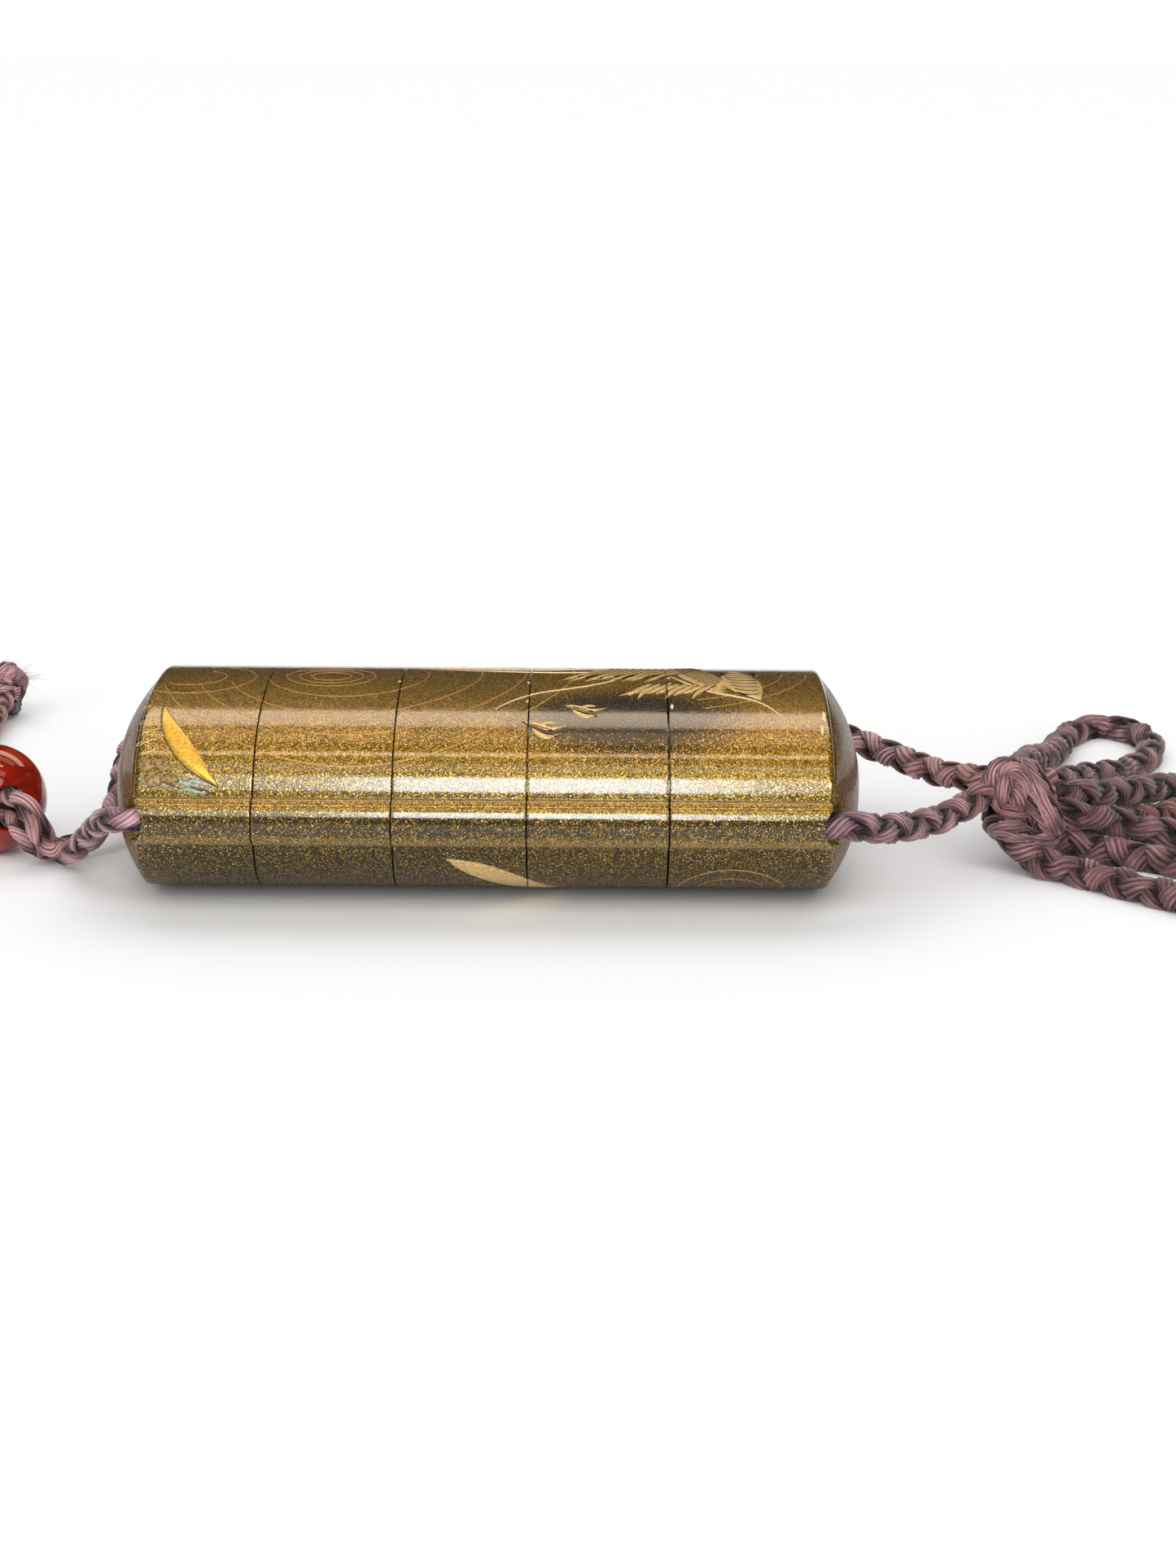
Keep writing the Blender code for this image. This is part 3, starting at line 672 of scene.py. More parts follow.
def round_the(centre, axis, reach, turns=1.0):
    """A ring of points round a knot, flattened to its height."""
    axis = axis.normalized()
    side = axis.orthogonal().normalized()
    other = axis.cross(side)
    ring = []
    count = round(12 * turns)
    for step in range(count + 1):
        angle = math.tau * turns * step / count
        point = (side * math.cos(angle) + other * math.sin(angle)) * reach
        ring.append(centre + Vector((point.x, point.y, point.z * KNOT_FLATNESS)))
    return ring


TAIL_END = TAIL[-1]
TAIL_WAY = (TAIL[-1] - TAIL[-2]).normalized()
frayed = []
for number in range(5):
    turn = math.tau * number / 5
    sway = TAIL_WAY.cross(Vector((0, 0, 1))) * math.cos(turn)
    opened = [TAIL_END + TAIL_WAY * along + sway * (0.5 + along * 0.16)
              + Vector((0, 0, 0.4 * math.sin(turn) - along * 0.05))
              for along in (-2.0, 0.0, 2.5, 5.0)]
    frayed.append(hank(f"yarn_{number}", opened, TAIL_END - Vector((0, 0, 30)), 3, 0.5, 0.3,
                       lay=12.0, size=0.4, faded=1.0, seed=50 + number))
frayed.append(loose_fibres("fringe", [TAIL_END + TAIL_WAY * along for along in (-1.5, 0.0, 1.5, 3.0)],
                           TAIL_WAY, 0.16, 9.0, 0.06, 320, 56))
joined("frayed_tail_tip", frayed, None)


# Bead and end knot: a pierced ball of polished carnelian, drilled through and rounded at both
# mouths. Both cords run through it side by side and are knotted behind it, so it can't slip off.
# Carnelian is translucent red quartz, tumbled to a glassy polish: light sinks in and glows in it.
BEAD_BORE_RADIUS = 2.9
MOUTH_ROUNDING = 0.35
carnelian, stone_tree, stone_shader = new_finish(
    "polished_carnelian", Roughness=0.06, IOR=1.54, Subsurface_Weight=0.4,
    Subsurface_Radius=(1.0, 0.22, 0.08), Subsurface_Scale=2.2 * MM, Coat_Weight=0.3,
    Coat_Roughness=0.03)
stone_place = add_node(stone_tree, "TexCoord")
# its colour is cloudy, in wisps of about 6 mm
stone_clouds = add_node(stone_tree, "TexNoise", {
    "Vector": stone_place.outputs["Object"], "Scale": 160.0, "Detail": 4.0, "Distortion": 1.2})
stone_colour = add_node(stone_tree, "ValToRGB", {
    "Fac": stone_clouds.outputs["Fac"]}, stops=[
    (0.25, srgb("5e0c06")), (0.55, srgb("921c0e")), (0.8, srgb("bc3e1e"))])
stone_tree.links.new(stone_colour.outputs["Color"], stone_shader.inputs["Base Color"])

bpy.ops.object.select_all(action="DESELECT")
bpy.ops.mesh.primitive_uv_sphere_add(segments=96, ring_count=64, radius=BEAD_RADIUS * MM)
bead = bpy.context.object
bead.name = "carnelian_bead"
bead.data.name = "carnelian_bead"
bpy.ops.object.mode_set(mode="EDIT")
bpy.ops.mesh.select_all(action="DESELECT")
bm = bmesh.from_edit_mesh(bead.data)
for vert in bm.verts:
    vert.select_set(math.hypot(vert.co.x, vert.co.y) < BEAD_BORE_RADIUS * MM)
bm.select_flush(True)
bmesh.update_edit_mesh(bead.data)
bpy.ops.mesh.delete(type="VERT")
bm = bmesh.from_edit_mesh(bead.data)
mouth_height = math.sqrt(BEAD_RADIUS ** 2 - BEAD_BORE_RADIUS ** 2)
for edge in [edge for edge in bm.edges if edge.is_boundary]:
    edge.select_set(True)
for vert in bm.verts:
    if vert.select:
        wide = BEAD_BORE_RADIUS * MM / math.hypot(vert.co.x, vert.co.y)
        vert.co = (vert.co.x * wide, vert.co.y * wide, math.copysign(mouth_height * MM, vert.co.z))
bmesh.update_edit_mesh(bead.data)
bpy.ops.mesh.bridge_edge_loops()
bpy.ops.mesh.select_all(action="DESELECT")
bm = bmesh.from_edit_mesh(bead.data)
for edge in bm.edges:
    ends = [math.hypot(vert.co.x, vert.co.y) / MM for vert in edge.verts]
    level = abs(edge.verts[0].co.z - edge.verts[1].co.z) < 0.01 * MM
    if level and max(ends) < BEAD_BORE_RADIUS + 0.01:
        edge.select_set(True)
bmesh.update_edit_mesh(bead.data)
bpy.ops.mesh.bevel(offset=MOUTH_ROUNDING * MM, segments=5, affect="EDGES")
bpy.ops.mesh.select_all(action="SELECT")
bpy.ops.mesh.normals_make_consistent(inside=False)
bpy.ops.object.mode_set(mode="OBJECT")
bead.rotation_mode = "QUATERNION"
bead.rotation_quaternion = BEAD_AXIS.to_track_quat("Z", "Y")
bead.location = BEAD_CENTRE * MM
bpy.ops.object.transform_apply(location=True, rotation=True, scale=True)
bpy.ops.object.shade_smooth_by_angle(angle=math.radians(30))
bead.data.materials.append(carnelian)
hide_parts("ojime")
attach(bead, "root")

end_knot = joined("tied_end_knot", [
    hank("core", [END_CENTRE + Vector((x, 0, -0.2)) for x in (-3.4, -1.4, 1.4, 3.4)],
         END_CENTRE - Vector((0, 0, 40)), 9, 5.6, 4.6, lay=60.0, size=2.2, faded=0.5, seed=41,
         paler=0.14),
    hank("left_wrap", round_the(END_CENTRE - Vector((2.2, 0, 0)), Vector((1, 0.25, 0.3)), 4.1),
         END_CENTRE, 6, 2.6, 0.8, size=0.9, faded=0.55, seed=42, paler=0.14),
    hank("right_wrap", round_the(END_CENTRE + Vector((1.6, 0, 0)), Vector((1, -0.4, -0.25)), 4.2),
         END_CENTRE, 6, 2.6, 0.8, size=0.9, faded=0.4, seed=43, paler=0.14),
    hank("over_wrap", round_the(END_CENTRE, Vector((0.35, 0.5, 1.0)), 4.3, turns=0.8),
         END_CENTRE, 5, 2.0, 0.8, size=0.85, faded=0.5, seed=44, paler=0.14),
    loose_fibres("end_fuzz", [END_CENTRE + Vector((x, -2.0, 2.0)) for x in (0.0, 2.0, 4.0)],
                 Vector((0.8, -0.1, 0.7)), 0.35, 5.0, 0.3, 90, 45, faded=0.5),
], "end_knot")
lay_cord("cord_lid_near", LID_NEAR, rim_exit(-1, -1), "knot", facing=0.12, girth=squeezed_in_bead,
         faded=faded_by_knot, pitch=8.0, seed=2, paler=0.15, with_pieces=[bead, end_knot])
lay_cord("cord_lid_far", LID_FAR, rim_exit(-1, 1), "knot", facing=0.12, girth=squeezed_in_bead,
         faded=faded_by_knot, seed=3, paler=0.12)


# Body: a lid and four nested cases of thin lacquered wood, built as one oval with a half-round
# runner along each narrow edge, through which the cord is threaded. Each case has a standing rim
# that slides into the piece above, so only a hairline shows between them.
HALF_THICKNESS = 12.7
OVAL_POWER = 2.3
RUNNER_RADIUS = 3.0
FOOT_CUT = 0.15
LID_SKIRT = 14.6
CASE_HEIGHTS = (17.0, 16.5, 17.4, 20.3)
SEAM_WIDTHS = (0.14, 0.14, 0.15, 0.20)
SEAM_ROUNDING = 0.08
EDGE_SUPPORT = 0.25
DOME_RISE = 4.5
DOME_POWER = 2.5
DOME_SPRING = 0.25
INNER_DOME_RISE = 3.5
RIM_ROUNDING = 0.8
RIM_STEP = 1.0
SOCKET_HALF_WIDTH = 23.6
SOCKET_HALF_THICKNESS = 11.1
RISER_WALL = 1.4
RISER_HEIGHT = 6.5
SOCKET_DEPTH = 6.9
FLOOR = 1.6
DOME_WALL = 2.4
FIT_GAP = 0.3
BORE_RADIUS = 1.9
SCOOP_RADIUS = 3.4
SCOOP_DEPTH = 1.4
SCOOP_MARGIN = 0.7
RUNNER_STEPS = 10
OVAL_STEPS = 34


def oval_reach(y, z, half_width, half_thickness):
    """How far out along a direction the oval lies."""
    value = abs(y / half_width) ** OVAL_POWER + abs(z / half_thickness) ** OVAL_POWER
    return value ** (-1 / OVAL_POWER)


def meeting_angle(inset):
    """Angle round the runner where it runs into the oval."""
    radius = RUNNER_RADIUS - inset
    low, high = 0.0, math.pi
    for _ in range(40):
        middle = (low + high) / 2
        y, z = HALF_WIDTH + radius * math.cos(middle), radius * math.sin(middle)
        inside = oval_reach(y, z, HALF_WIDTH - inset, HALF_THICKNESS - inset) > 1
        low, high = (low, middle) if inside else (middle, high)
    return high


def section(inset=0.0):
    """Closed outer outline as (y, z), from the far runner's middle over the top."""
    radius = RUNNER_RADIUS - inset
    last = meeting_angle(inset)
    quarter = []
    for step in range(RUNNER_STEPS + 1):
        angle = last * step / RUNNER_STEPS
        quarter.append((HALF_WIDTH + radius * math.cos(angle), radius * math.sin(angle)))
    start = math.atan2(quarter[-1][1] / HALF_THICKNESS, quarter[-1][0] / HALF_WIDTH)
    for step in range(1, OVAL_STEPS + 1):
        angle = start + (math.pi / 2 - start) * step / OVAL_STEPS
        y, z = HALF_WIDTH * math.cos(angle), HALF_THICKNESS * math.sin(angle)
        reach = oval_reach(y, z, HALF_WIDTH - inset, HALF_THICKNESS - inset)
        quarter.append((y * reach, z * reach))
    upper = quarter + [(-y, z) for y, z in reversed(quarter[:-1])]
    lowest = FOOT_CUT - HALF_THICKNESS + inset
    return [(y, max(z, lowest)) for y, z in upper + [(y, -z) for y, z in reversed(upper[1:-1])]]


def oval(half_width, half_thickness):
    """Plain oval with as many points as the outer section."""
    outline = []
    for y, z in OUTER:
        reach = oval_reach(y, z, half_width, half_thickness)
        outline.append((y * reach, z * reach))
    return outline


OUTER = section()
SOCKET = oval(SOCKET_HALF_WIDTH, SOCKET_HALF_THICKNESS)
RISER = oval(SOCKET_HALF_WIDTH - FIT_GAP, SOCKET_HALF_THICKNESS - FIT_GAP)
RISER_INSIDE = oval(SOCKET_HALF_WIDTH - FIT_GAP - RISER_WALL,
                    SOCKET_HALF_THICKNESS - FIT_GAP - RISER_WALL)


SEAM_STEPS = 3
RIM_STEPS = 6
DOME_STEPS = 14


def rounded_edge(x, outward, radius, steps=SEAM_STEPS):
    """Stations that round the outer edge of a flat end, from the side to the end."""
    stations = [(x - outward * (radius + EDGE_SUPPORT), section())]
    for step in range(steps + 1):
        turn = math.pi / 2 * step / steps
        stations.append((x - outward * radius * (1 - math.sin(turn)),
                         section(radius * (1 - math.cos(turn)))))
    return stations


def dome(rim, outward, rise, half_width, half_thickness):
    """Ovals that climb from the rim nearly to the middle of a dome."""
    stations = []
    for step in range(DOME_STEPS):
        share = math.cos(math.pi / 2 * step / DOME_STEPS)
        stations.append((rim + outward * rise * (1 - share ** DOME_POWER),
                         oval(half_width * share, half_thickness * share)))
    return stations


def closed_end(outward):
    """Rounded shoulder and dome at one end of the body."""
    rim = outward * BODY_HALF
    return rounded_edge(rim, outward, RIM_ROUNDING, RIM_STEPS) + dome(
        rim + outward * DOME_SPRING, outward, DOME_RISE - DOME_SPRING,
        HALF_WIDTH - RIM_STEP, HALF_THICKNESS - RIM_STEP)


def draw_wall(name, stations, first_tip, last_tip):
    """Shape a ring, extrude it from station to station, and close both ends in a point."""
    bpy.ops.object.select_all(action="DESELECT")
    bpy.ops.mesh.primitive_circle_add(vertices=len(OUTER), radius=1.0)
    piece = bpy.context.object
    piece.name = name
    piece.data.name = name
    bpy.ops.object.mode_set(mode="EDIT")
    bm = bmesh.from_edit_mesh(piece.data)
    place = bm.verts.layers.int.new("place")
    for number, vert in enumerate(bm.verts):
        vert[place] = number
    for number, (x, outline) in enumerate(stations):
        if number:
            bpy.ops.mesh.extrude_region()
            bm = bmesh.from_edit_mesh(piece.data)
            place = bm.verts.layers.int["place"]
        for vert in bm.verts:
            if vert.select:
                y, z = outline[vert[place]]
                vert.co = Vector((x, y, z + AXIS_HEIGHT)) * MM
        bmesh.update_edit_mesh(piece.data)
    for tip, at_first in ((last_tip, False), (first_tip, True)):
        if at_first:
            bpy.ops.mesh.select_all(action="DESELECT")
            bm = bmesh.from_edit_mesh(piece.data)
            for edge in [edge for edge in bm.edges if edge.is_boundary]:
                edge.select_set(True)
            bmesh.update_edit_mesh(piece.data)
        bpy.ops.mesh.extrude_region()
        bpy.ops.mesh.merge(type="CENTER")
        bm = bmesh.from_edit_mesh(piece.data)
        for vert in bm.verts:
            if vert.select:
                vert.co = Vector((tip, 0.0, AXIS_HEIGHT)) * MM
        bmesh.update_edit_mesh(piece.data)
    bpy.ops.mesh.select_all(action="SELECT")
    bpy.ops.mesh.normals_make_consistent(inside=False)
    bpy.ops.object.mode_set(mode="OBJECT")
    return piece


def bore_out(piece, ends=()):
    """Drill both cord runners through, and scoop out the mouth where the cord leaves."""
    low, high = [corner.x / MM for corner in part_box(piece["node"])]
    drills = []
    for side in (-1, 1):
        bpy.ops.mesh.primitive_cylinder_add(
            vertices=32, radius=BORE_RADIUS * MM, depth=(high - low + 4) * MM,
            location=Vector(((low + high) / 2, side * HALF_WIDTH, AXIS_HEIGHT)) * MM,
            rotation=(0, math.pi / 2, 0))
        drills.append(bpy.context.object)
        for end in ends:
            inner = HALF_WIDTH - BORE_RADIUS - SCOOP_MARGIN
            outer = HALF_WIDTH + 2 * RUNNER_RADIUS
            bpy.ops.mesh.primitive_cylinder_add(
                vertices=64, radius=SCOOP_RADIUS * MM, depth=(outer - inner) * MM,
                location=Vector((end * (BODY_HALF + SCOOP_RADIUS - SCOOP_DEPTH),
                                 side * (inner + outer) / 2, AXIS_HEIGHT)) * MM,
                rotation=(math.pi / 2, 0, 0))
            drills.append(bpy.context.object)
    for drill in drills:
        bpy.context.view_layer.objects.active = piece
        cut = piece.modifiers.new("drill", "BOOLEAN")
        cut.object = drill
        cut.operation = "DIFFERENCE"
        bpy.ops.object.modifier_apply(modifier=cut.name)
        bpy.data.objects.remove(drill)


def finish_lacquer_piece(piece, ends=()):
    """Bore it, smooth its curved faces, lacquer it and put it in place of its CAD node."""
    bore_out(piece, ends)
    pick(piece)
    bpy.ops.object.shade_smooth_by_angle(angle=math.radians(28))
    piece.data.materials.append(gold_ground)
    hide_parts(piece["node"])
    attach(piece, "root")


def make_gold_ground():
    """Gold powder sown thick in amber lacquer over brown-black, under a polished clear coat.

    The powder lies as small flat flakes that each catch the light at their own angle, and the
    amber lacquer over them deepens their colour. It is sown thinner in soft clouds. Under the
    body it is made thinner and darker as painted shade, and along the crest of the cord runners it
    is darkened as a painted dark reflection band.
    """
    ground, tree, shader = new_finish("amber_gold_powder_lacquer", Coat_Roughness=0.12,
                                      Coat_IOR=1.58, Specular_IOR_Level=0.15)
    place = add_node(tree, "TexCoord")
    # real powder is 0.05 mm; it is drawn 0.11 mm coarse so that it shows
    flake_size = 0.11 * MM
    flakes = add_node(tree, "TexVoronoi", {
        "Vector": place.outputs["Object"], "Scale": 1 / flake_size, "Randomness": 1.0})
    parts = add_node(tree, "SeparateColor", {"Color": flakes.outputs["Color"]})
    # it was sown by hand, thicker and thinner in clouds of about 20 mm
    clouds = add_node(tree, "TexNoise", {
        "Vector": place.outputs["Object"], "Scale": 45.0, "Detail": 3.0, "Roughness": 0.55})
    at = add_node(tree, "SeparateXYZ", {"Vector": place.outputs["Object"]})
    # a dark bare cloud over the third and fourth case, above the near edge
    dark_place = add_node(tree, "Mapping", {
        "Vector": place.outputs["Object"], "Location": (-1.1, 1.5, -2.3),
        "Scale": (1 / (16 * MM), 1 / (10 * MM), 1 / (10 * MM))}, vector_type="POINT")
    dark_far = add_node(tree, "VectorMath", {0: dark_place.outputs["Vector"]},
                        operation="LENGTH")
    density = add_node(tree, "MapRange", {
        "Value": clouds.outputs["Fac"], "From Min": 0.3, "From Max": 0.7,
        "To Min": 0.60, "To Max": 0.86})
    sparse = add_node(tree, "MapRange", {
        "Value": dark_far.outputs["Value"], "From Min": 0.45, "From Max": 1.15,
        "To Min": 0.06, "To Max": 1.0}, interpolation_type="SMOOTHSTEP")
    # painted shade: the powder is made sparser and the ground darker under the body
    under = add_node(tree, "MapRange", {
        "Value": at.outputs["Z"], "From Min": 9.0 * MM, "From Max": 10.0 * MM,
        "To Min": 0.36, "To Max": 1.0}, interpolation_type="SMOOTHSTEP")
    # painted dark reflection band: the powder is made sparser along the crest of the cord runners
    crest = add_node(tree, "Math", {0: at.outputs["Y"]}, operation="ABSOLUTE")
    painted_dark_band = add_node(tree, "MapRange", {
        "Value": crest.outputs["Value"], "From Min": 29.0 * MM, "From Max": 29.5 * MM,
        "To Min": 1.0, "To Max": 0.4}, interpolation_type="SMOOTHSTEP")
    share = density
    for cover in (sparse, under, painted_dark_band):
        share = add_node(tree, "Math", {
            0: share.outputs[0], 1: cover.outputs["Result"]}, operation="MULTIPLY")
    is_gold = add_node(tree, "Math", {
        0: parts.outputs["Red"], 1: share.outputs["Value"]}, operation="LESS_THAN")
    tint = add_node(tree, "ValToRGB", {"Fac": parts.outputs["Green"]}, stops=[
        (0.0, srgb("56400a")), (0.5, srgb("936e16")), (0.85, srgb("dab440")), (1.0, srgb("fff0b4"))])
    bed = add_node(tree, "Mix", {
        "Factor": share.outputs["Value"], 6: srgb("1c180e"), 7: srgb("423008")},
        data_type="RGBA")
    colour = add_node(tree, "Mix", {
        "Factor": is_gold.outputs["Value"], 6: bed.outputs[2], 7: tint.outputs["Color"]},
        data_type="RGBA")
    # the domed ends are plain brown-gold lacquer, and duller
    reach = add_node(tree, "Math", {0: at.outputs["X"]}, operation="ABSOLUTE")
    body_part = add_node(tree, "MapRange", {
        "Value": reach.outputs["Value"], "From Min": (BODY_HALF - 0.3) * MM,
        "From Max": (BODY_HALF + 0.7) * MM, "To Min": 1.0, "To Max": 0.25},
        interpolation_type="SMOOTHSTEP")
    colour = add_node(tree, "Mix", {
        "Factor": body_part.outputs["Result"], 6: srgb("6e4818"), 7: colour.outputs[2]},
        data_type="RGBA")
    tree.links.new(colour.outputs[2], shader.inputs["Base Color"])
    metal = add_node(tree, "Math", {0: is_gold.outputs["Value"], 1: 0.85},
                     operation="MULTIPLY")
    tree.links.new(metal.outputs["Value"], shader.inputs["Metallic"])
    rough = add_node(tree, "MapRange", {
        "Value": parts.outputs["Blue"], "To Min": 0.24, "To Max": 0.62})
    tree.links.new(rough.outputs["Result"], shader.inputs["Roughness"])
    # each flake is tipped a little its own way; the clear coat over them stays level
    tilt = add_node(tree, "VectorMath", {
        0: flakes.outputs["Color"], 1: (0.5, 0.5, 0.5)}, operation="SUBTRACT")
    tilt = add_node(tree, "VectorMath", {0: tilt.outputs["Vector"], "Scale": 0.5},
                    operation="SCALE")
    facing = add_node(tree, "NewGeometry")
    tipped = add_node(tree, "VectorMath", {
        0: facing.outputs["Normal"], 1: tilt.outputs["Vector"]}, operation="ADD")
    tipped = add_node(tree, "VectorMath", {0: tipped.outputs["Vector"]},
                      operation="NORMALIZE")
    tree.links.new(tipped.outputs["Vector"], shader.inputs["Normal"])
    # the underside is worn dull by handling
    polish = add_node(tree, "MapRange", {
        "Value": at.outputs["Z"], "From Min": 5.0 * MM, "From Max": 14.0 * MM,
        "To Min": 0.12, "To Max": 1.0})
    dulled = add_node(tree, "Math", {
        0: polish.outputs["Result"], 1: body_part.outputs["Result"]}, operation="MULTIPLY")
    tree.links.new(dulled.outputs["Value"], shader.inputs["Coat Weight"])
    # the polished coat is uneven every millimetre or so, and the lamps' edges waver in it
    waver = add_node(tree, "TexNoise", {
        "Vector": place.outputs["Object"], "Scale": 900.0, "Detail": 2.0})
    ripple = add_node(tree, "Bump", {
        "Height": waver.outputs["Fac"], "Strength": 0.35, "Distance": 0.03 * MM})
    tree.links.new(ripple.outputs["Normal"], shader.inputs["Coat Normal"])
    return ground


gold_ground = make_gold_ground()

ceiling = -BODY_HALF + DOME_WALL
seam = -BODY_HALF + LID_SKIRT
lid_edge = seam - SEAM_WIDTHS[0] / 2
stations = list(reversed(dome(ceiling, -1, INNER_DOME_RISE, SOCKET_HALF_WIDTH,
                              SOCKET_HALF_THICKNESS)))
stations += [(lid_edge, SOCKET)]
stations += list(reversed(rounded_edge(lid_edge, 1, SEAM_ROUNDING)))
stations += closed_end(-1)
lid = draw_wall("lacquered_lid", stations, ceiling - INNER_DOME_RISE, -BODY_HALF - DOME_RISE)
lid["node"] = "lid"
finish_lacquer_piece(lid, (-1,))

for number, height in enumerate(CASE_HEIGHTS, start=1):
    is_bottom = number == len(CASE_HEIGHTS)
    shoulder = seam + SEAM_WIDTHS[number - 1] / 2
    riser_top = seam - RISER_HEIGHT
    if is_bottom:
        stations = list(reversed(dome(BODY_HALF - DOME_WALL, 1, INNER_DOME_RISE,
                                      SOCKET_HALF_WIDTH - FIT_GAP - RISER_WALL,
                                      SOCKET_HALF_THICKNESS - FIT_GAP - RISER_WALL)))
        first_tip = BODY_HALF - DOME_WALL + INNER_DOME_RISE
    else:
        floor_below = seam + height - SOCKET_DEPTH
        first_tip = floor_below - FLOOR
        stations = [(first_tip, RISER_INSIDE)]
    stations += [(riser_top, RISER_INSIDE), (riser_top, RISER), (shoulder, RISER)]
    stations += list(reversed(rounded_edge(shoulder, -1, SEAM_ROUNDING)))
    if is_bottom:
        stations += closed_end(1)
        last_tip = BODY_HALF + DOME_RISE
    else:
        lower_edge = seam + height - SEAM_WIDTHS[number] / 2
        stations += rounded_edge(lower_edge, 1, SEAM_ROUNDING)
        stations += [(lower_edge, SOCKET), (floor_below, SOCKET)]
        last_tip = floor_below
    case = draw_wall(f"lacquered_case_{number}", stations, first_tip, last_tip)
    case["node"] = f"case_{number}"
    finish_lacquer_piece(case, (1,) if is_bottom else ())
    seam += height


# Ornament: raised gold laid on the finished body in thin strokes, after the cases are fitted
# together, and cut through at each seam. It shows ripples, reeds, a ribbed shell, a leaf spray, two
# small flames, a crescent over a rocky shore, and a broad blade of grass low on the near edge.
TOP_MIDDLE = RUNNER_STEPS + OVAL_STEPS
SEAM_PLACES = [-BODY_HALF + LID_SKIRT + sum(CASE_HEIGHTS[:count]) for count in range(4)]
SEAM_GAP = 0.08
STROKE_SINK = 0.06
STROKE_FACETS = 0.35
STROKE_EDGE = 0.01
THINNEST = 0.03
FULL_HEIGHT_AT = 0.25
SCRAP = 0.005
LEAST_FACES = 12


def on_body(x, s, lift=0.0):
    """A point on the lacquer, s millimetres round from the top middle towards the near side."""
    way = 1 if s >= 0 else -1
    left = abs(s)
    number = TOP_MIDDLE
    while True:
        here, after = Vector(OUTER[number % len(OUTER)]), Vector(OUTER[(number + way) % len(OUTER)])
        step = (after - here).length
        if step >= left:
            break
        left -= step
        number += way
    before = Vector(OUTER[(number - way) % len(OUTER)])
    beyond = Vector(OUTER[(number + 2 * way) % len(OUTER)])
    along = (after - before).lerp(beyond - here, left / step).normalized()
    normal = Vector((along.y, -along.x)) * way
    place = here.lerp(after, left / step) + normal * lift
    return Vector((x, place.x, place.y + AXIS_HEIGHT))


class Ornament:
    """Strokes of one kind of gold, gathered into one mesh and cut apart at the seams."""

    def __init__(self, name, material):
        self.name = name
        self.material = material
        self.rows = []
        self.faces = []

    def stroke(self, path, lift, tapering=True, at=(0.0, 0.0)):
        """A ridge through (x, s, half width) points, that sinks away where it narrows."""
        line = smooth_route([Vector((at[0] + x, at[1] + s, width)) for x, s, width in path])
        broad = max(point.z for point in line)
        facets = 5 + 2 * round(broad / STROKE_FACETS)
        profile = [2 * number / facets - 1 for number in range(facets + 1)]
        rings = []
        for place, point in enumerate(line):
            before, after = line[max(place - 1, 0)], line[min(place + 1, len(line) - 1)]
            way = Vector((after.x - before.x, after.y - before.y)).normalized()
            half = max(point.z, THINNEST)
            side = Vector((-way.y, way.x)) * half
            height = lift * min(1.0, half / FULL_HEIGHT_AT) if tapering else lift
            top = [(v, height * (1 - v ** 4) - STROKE_EDGE) for v in profile]
            bottom = [(v, -STROKE_SINK) for v in reversed(profile)]
            rings.append([on_body(point.x + side.x * v, point.y + side.y * v, level)
                          for v, level in top + bottom])
        add_tube(self.rows, self.faces, rings)

    def lay(self):
        """Make one piece for each case that the strokes touch."""
        whole = mesh_piece(self.name, self.rows, self.faces, self.material)
        bounds = [-BODY_HALF - 2, *SEAM_PLACES, BODY_HALF + 2]
        for number, (low, high) in enumerate(zip(bounds, bounds[1:])):
            part = whole.copy()
            part.data = whole.data.copy()
            part.name = f"{self.name}_{number}"
            part.data.name = part.name
            bpy.context.scene.collection.objects.link(part)
            pick(part)
            bpy.ops.object.mode_set(mode="EDIT")
            for cut, turned in ((low, 1), (high, -1)):
                bpy.ops.mesh.select_all(action="SELECT")
                edge = cut + turned * SEAM_GAP if cut in SEAM_PLACES else cut
                bpy.ops.mesh.bisect(plane_co=(edge * MM, 0, 0), plane_no=(turned, 0, 0),
                                    use_fill=True, clear_inner=True)
            bpy.ops.mesh.select_all(action="SELECT")
            bpy.ops.mesh.remove_doubles(threshold=SCRAP * MM)
            bpy.ops.mesh.dissolve_degenerate(threshold=SCRAP * MM)
            bpy.ops.mesh.normals_make_consistent(inside=False)
            bpy.ops.object.mode_set(mode="OBJECT")
            part.data.validate()
            if len(part.data.polygons) < LEAST_FACES:
                bpy.data.objects.remove(part)
                continue
            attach(part, "root")
        bpy.data.objects.remove(whole)


def make_relief(name, light, dark, metallic, roughness, grain=0.3):
    """Powdered gold or pigment on raised lacquer: two tones mixed by a fine grain."""
    finish, tree, shader = new_finish(name, Metallic=metallic, Roughness=roughness, Coat_Weight=0.3,
                                      Coat_Roughness=0.15)
    place = add_node(tree, "TexCoord")
    # real powder is 0.05 mm; its clumps are drawn 0.3 mm coarse so that they show
    powder = add_node(tree, "TexNoise", {
        "Vector": place.outputs["Object"], "Scale": 1 / (grain * MM), "Detail": 3.0,
        "Roughness": 0.7})
    tones = add_node(tree, "ValToRGB", {"Fac": powder.outputs["Fac"]}, stops=[
        (0.36, srgb(dark)), (0.60, srgb(light))])
    tree.links.new(tones.outputs["Color"], shader.inputs["Base Color"])
    bump = add_node(tree, "Bump", {
        "Height": powder.outputs["Fac"], "Strength": 0.35, "Distance": 0.04 * MM})
    tree.links.new(bump.outputs["Normal"], shader.inputs["Normal"])
    return finish


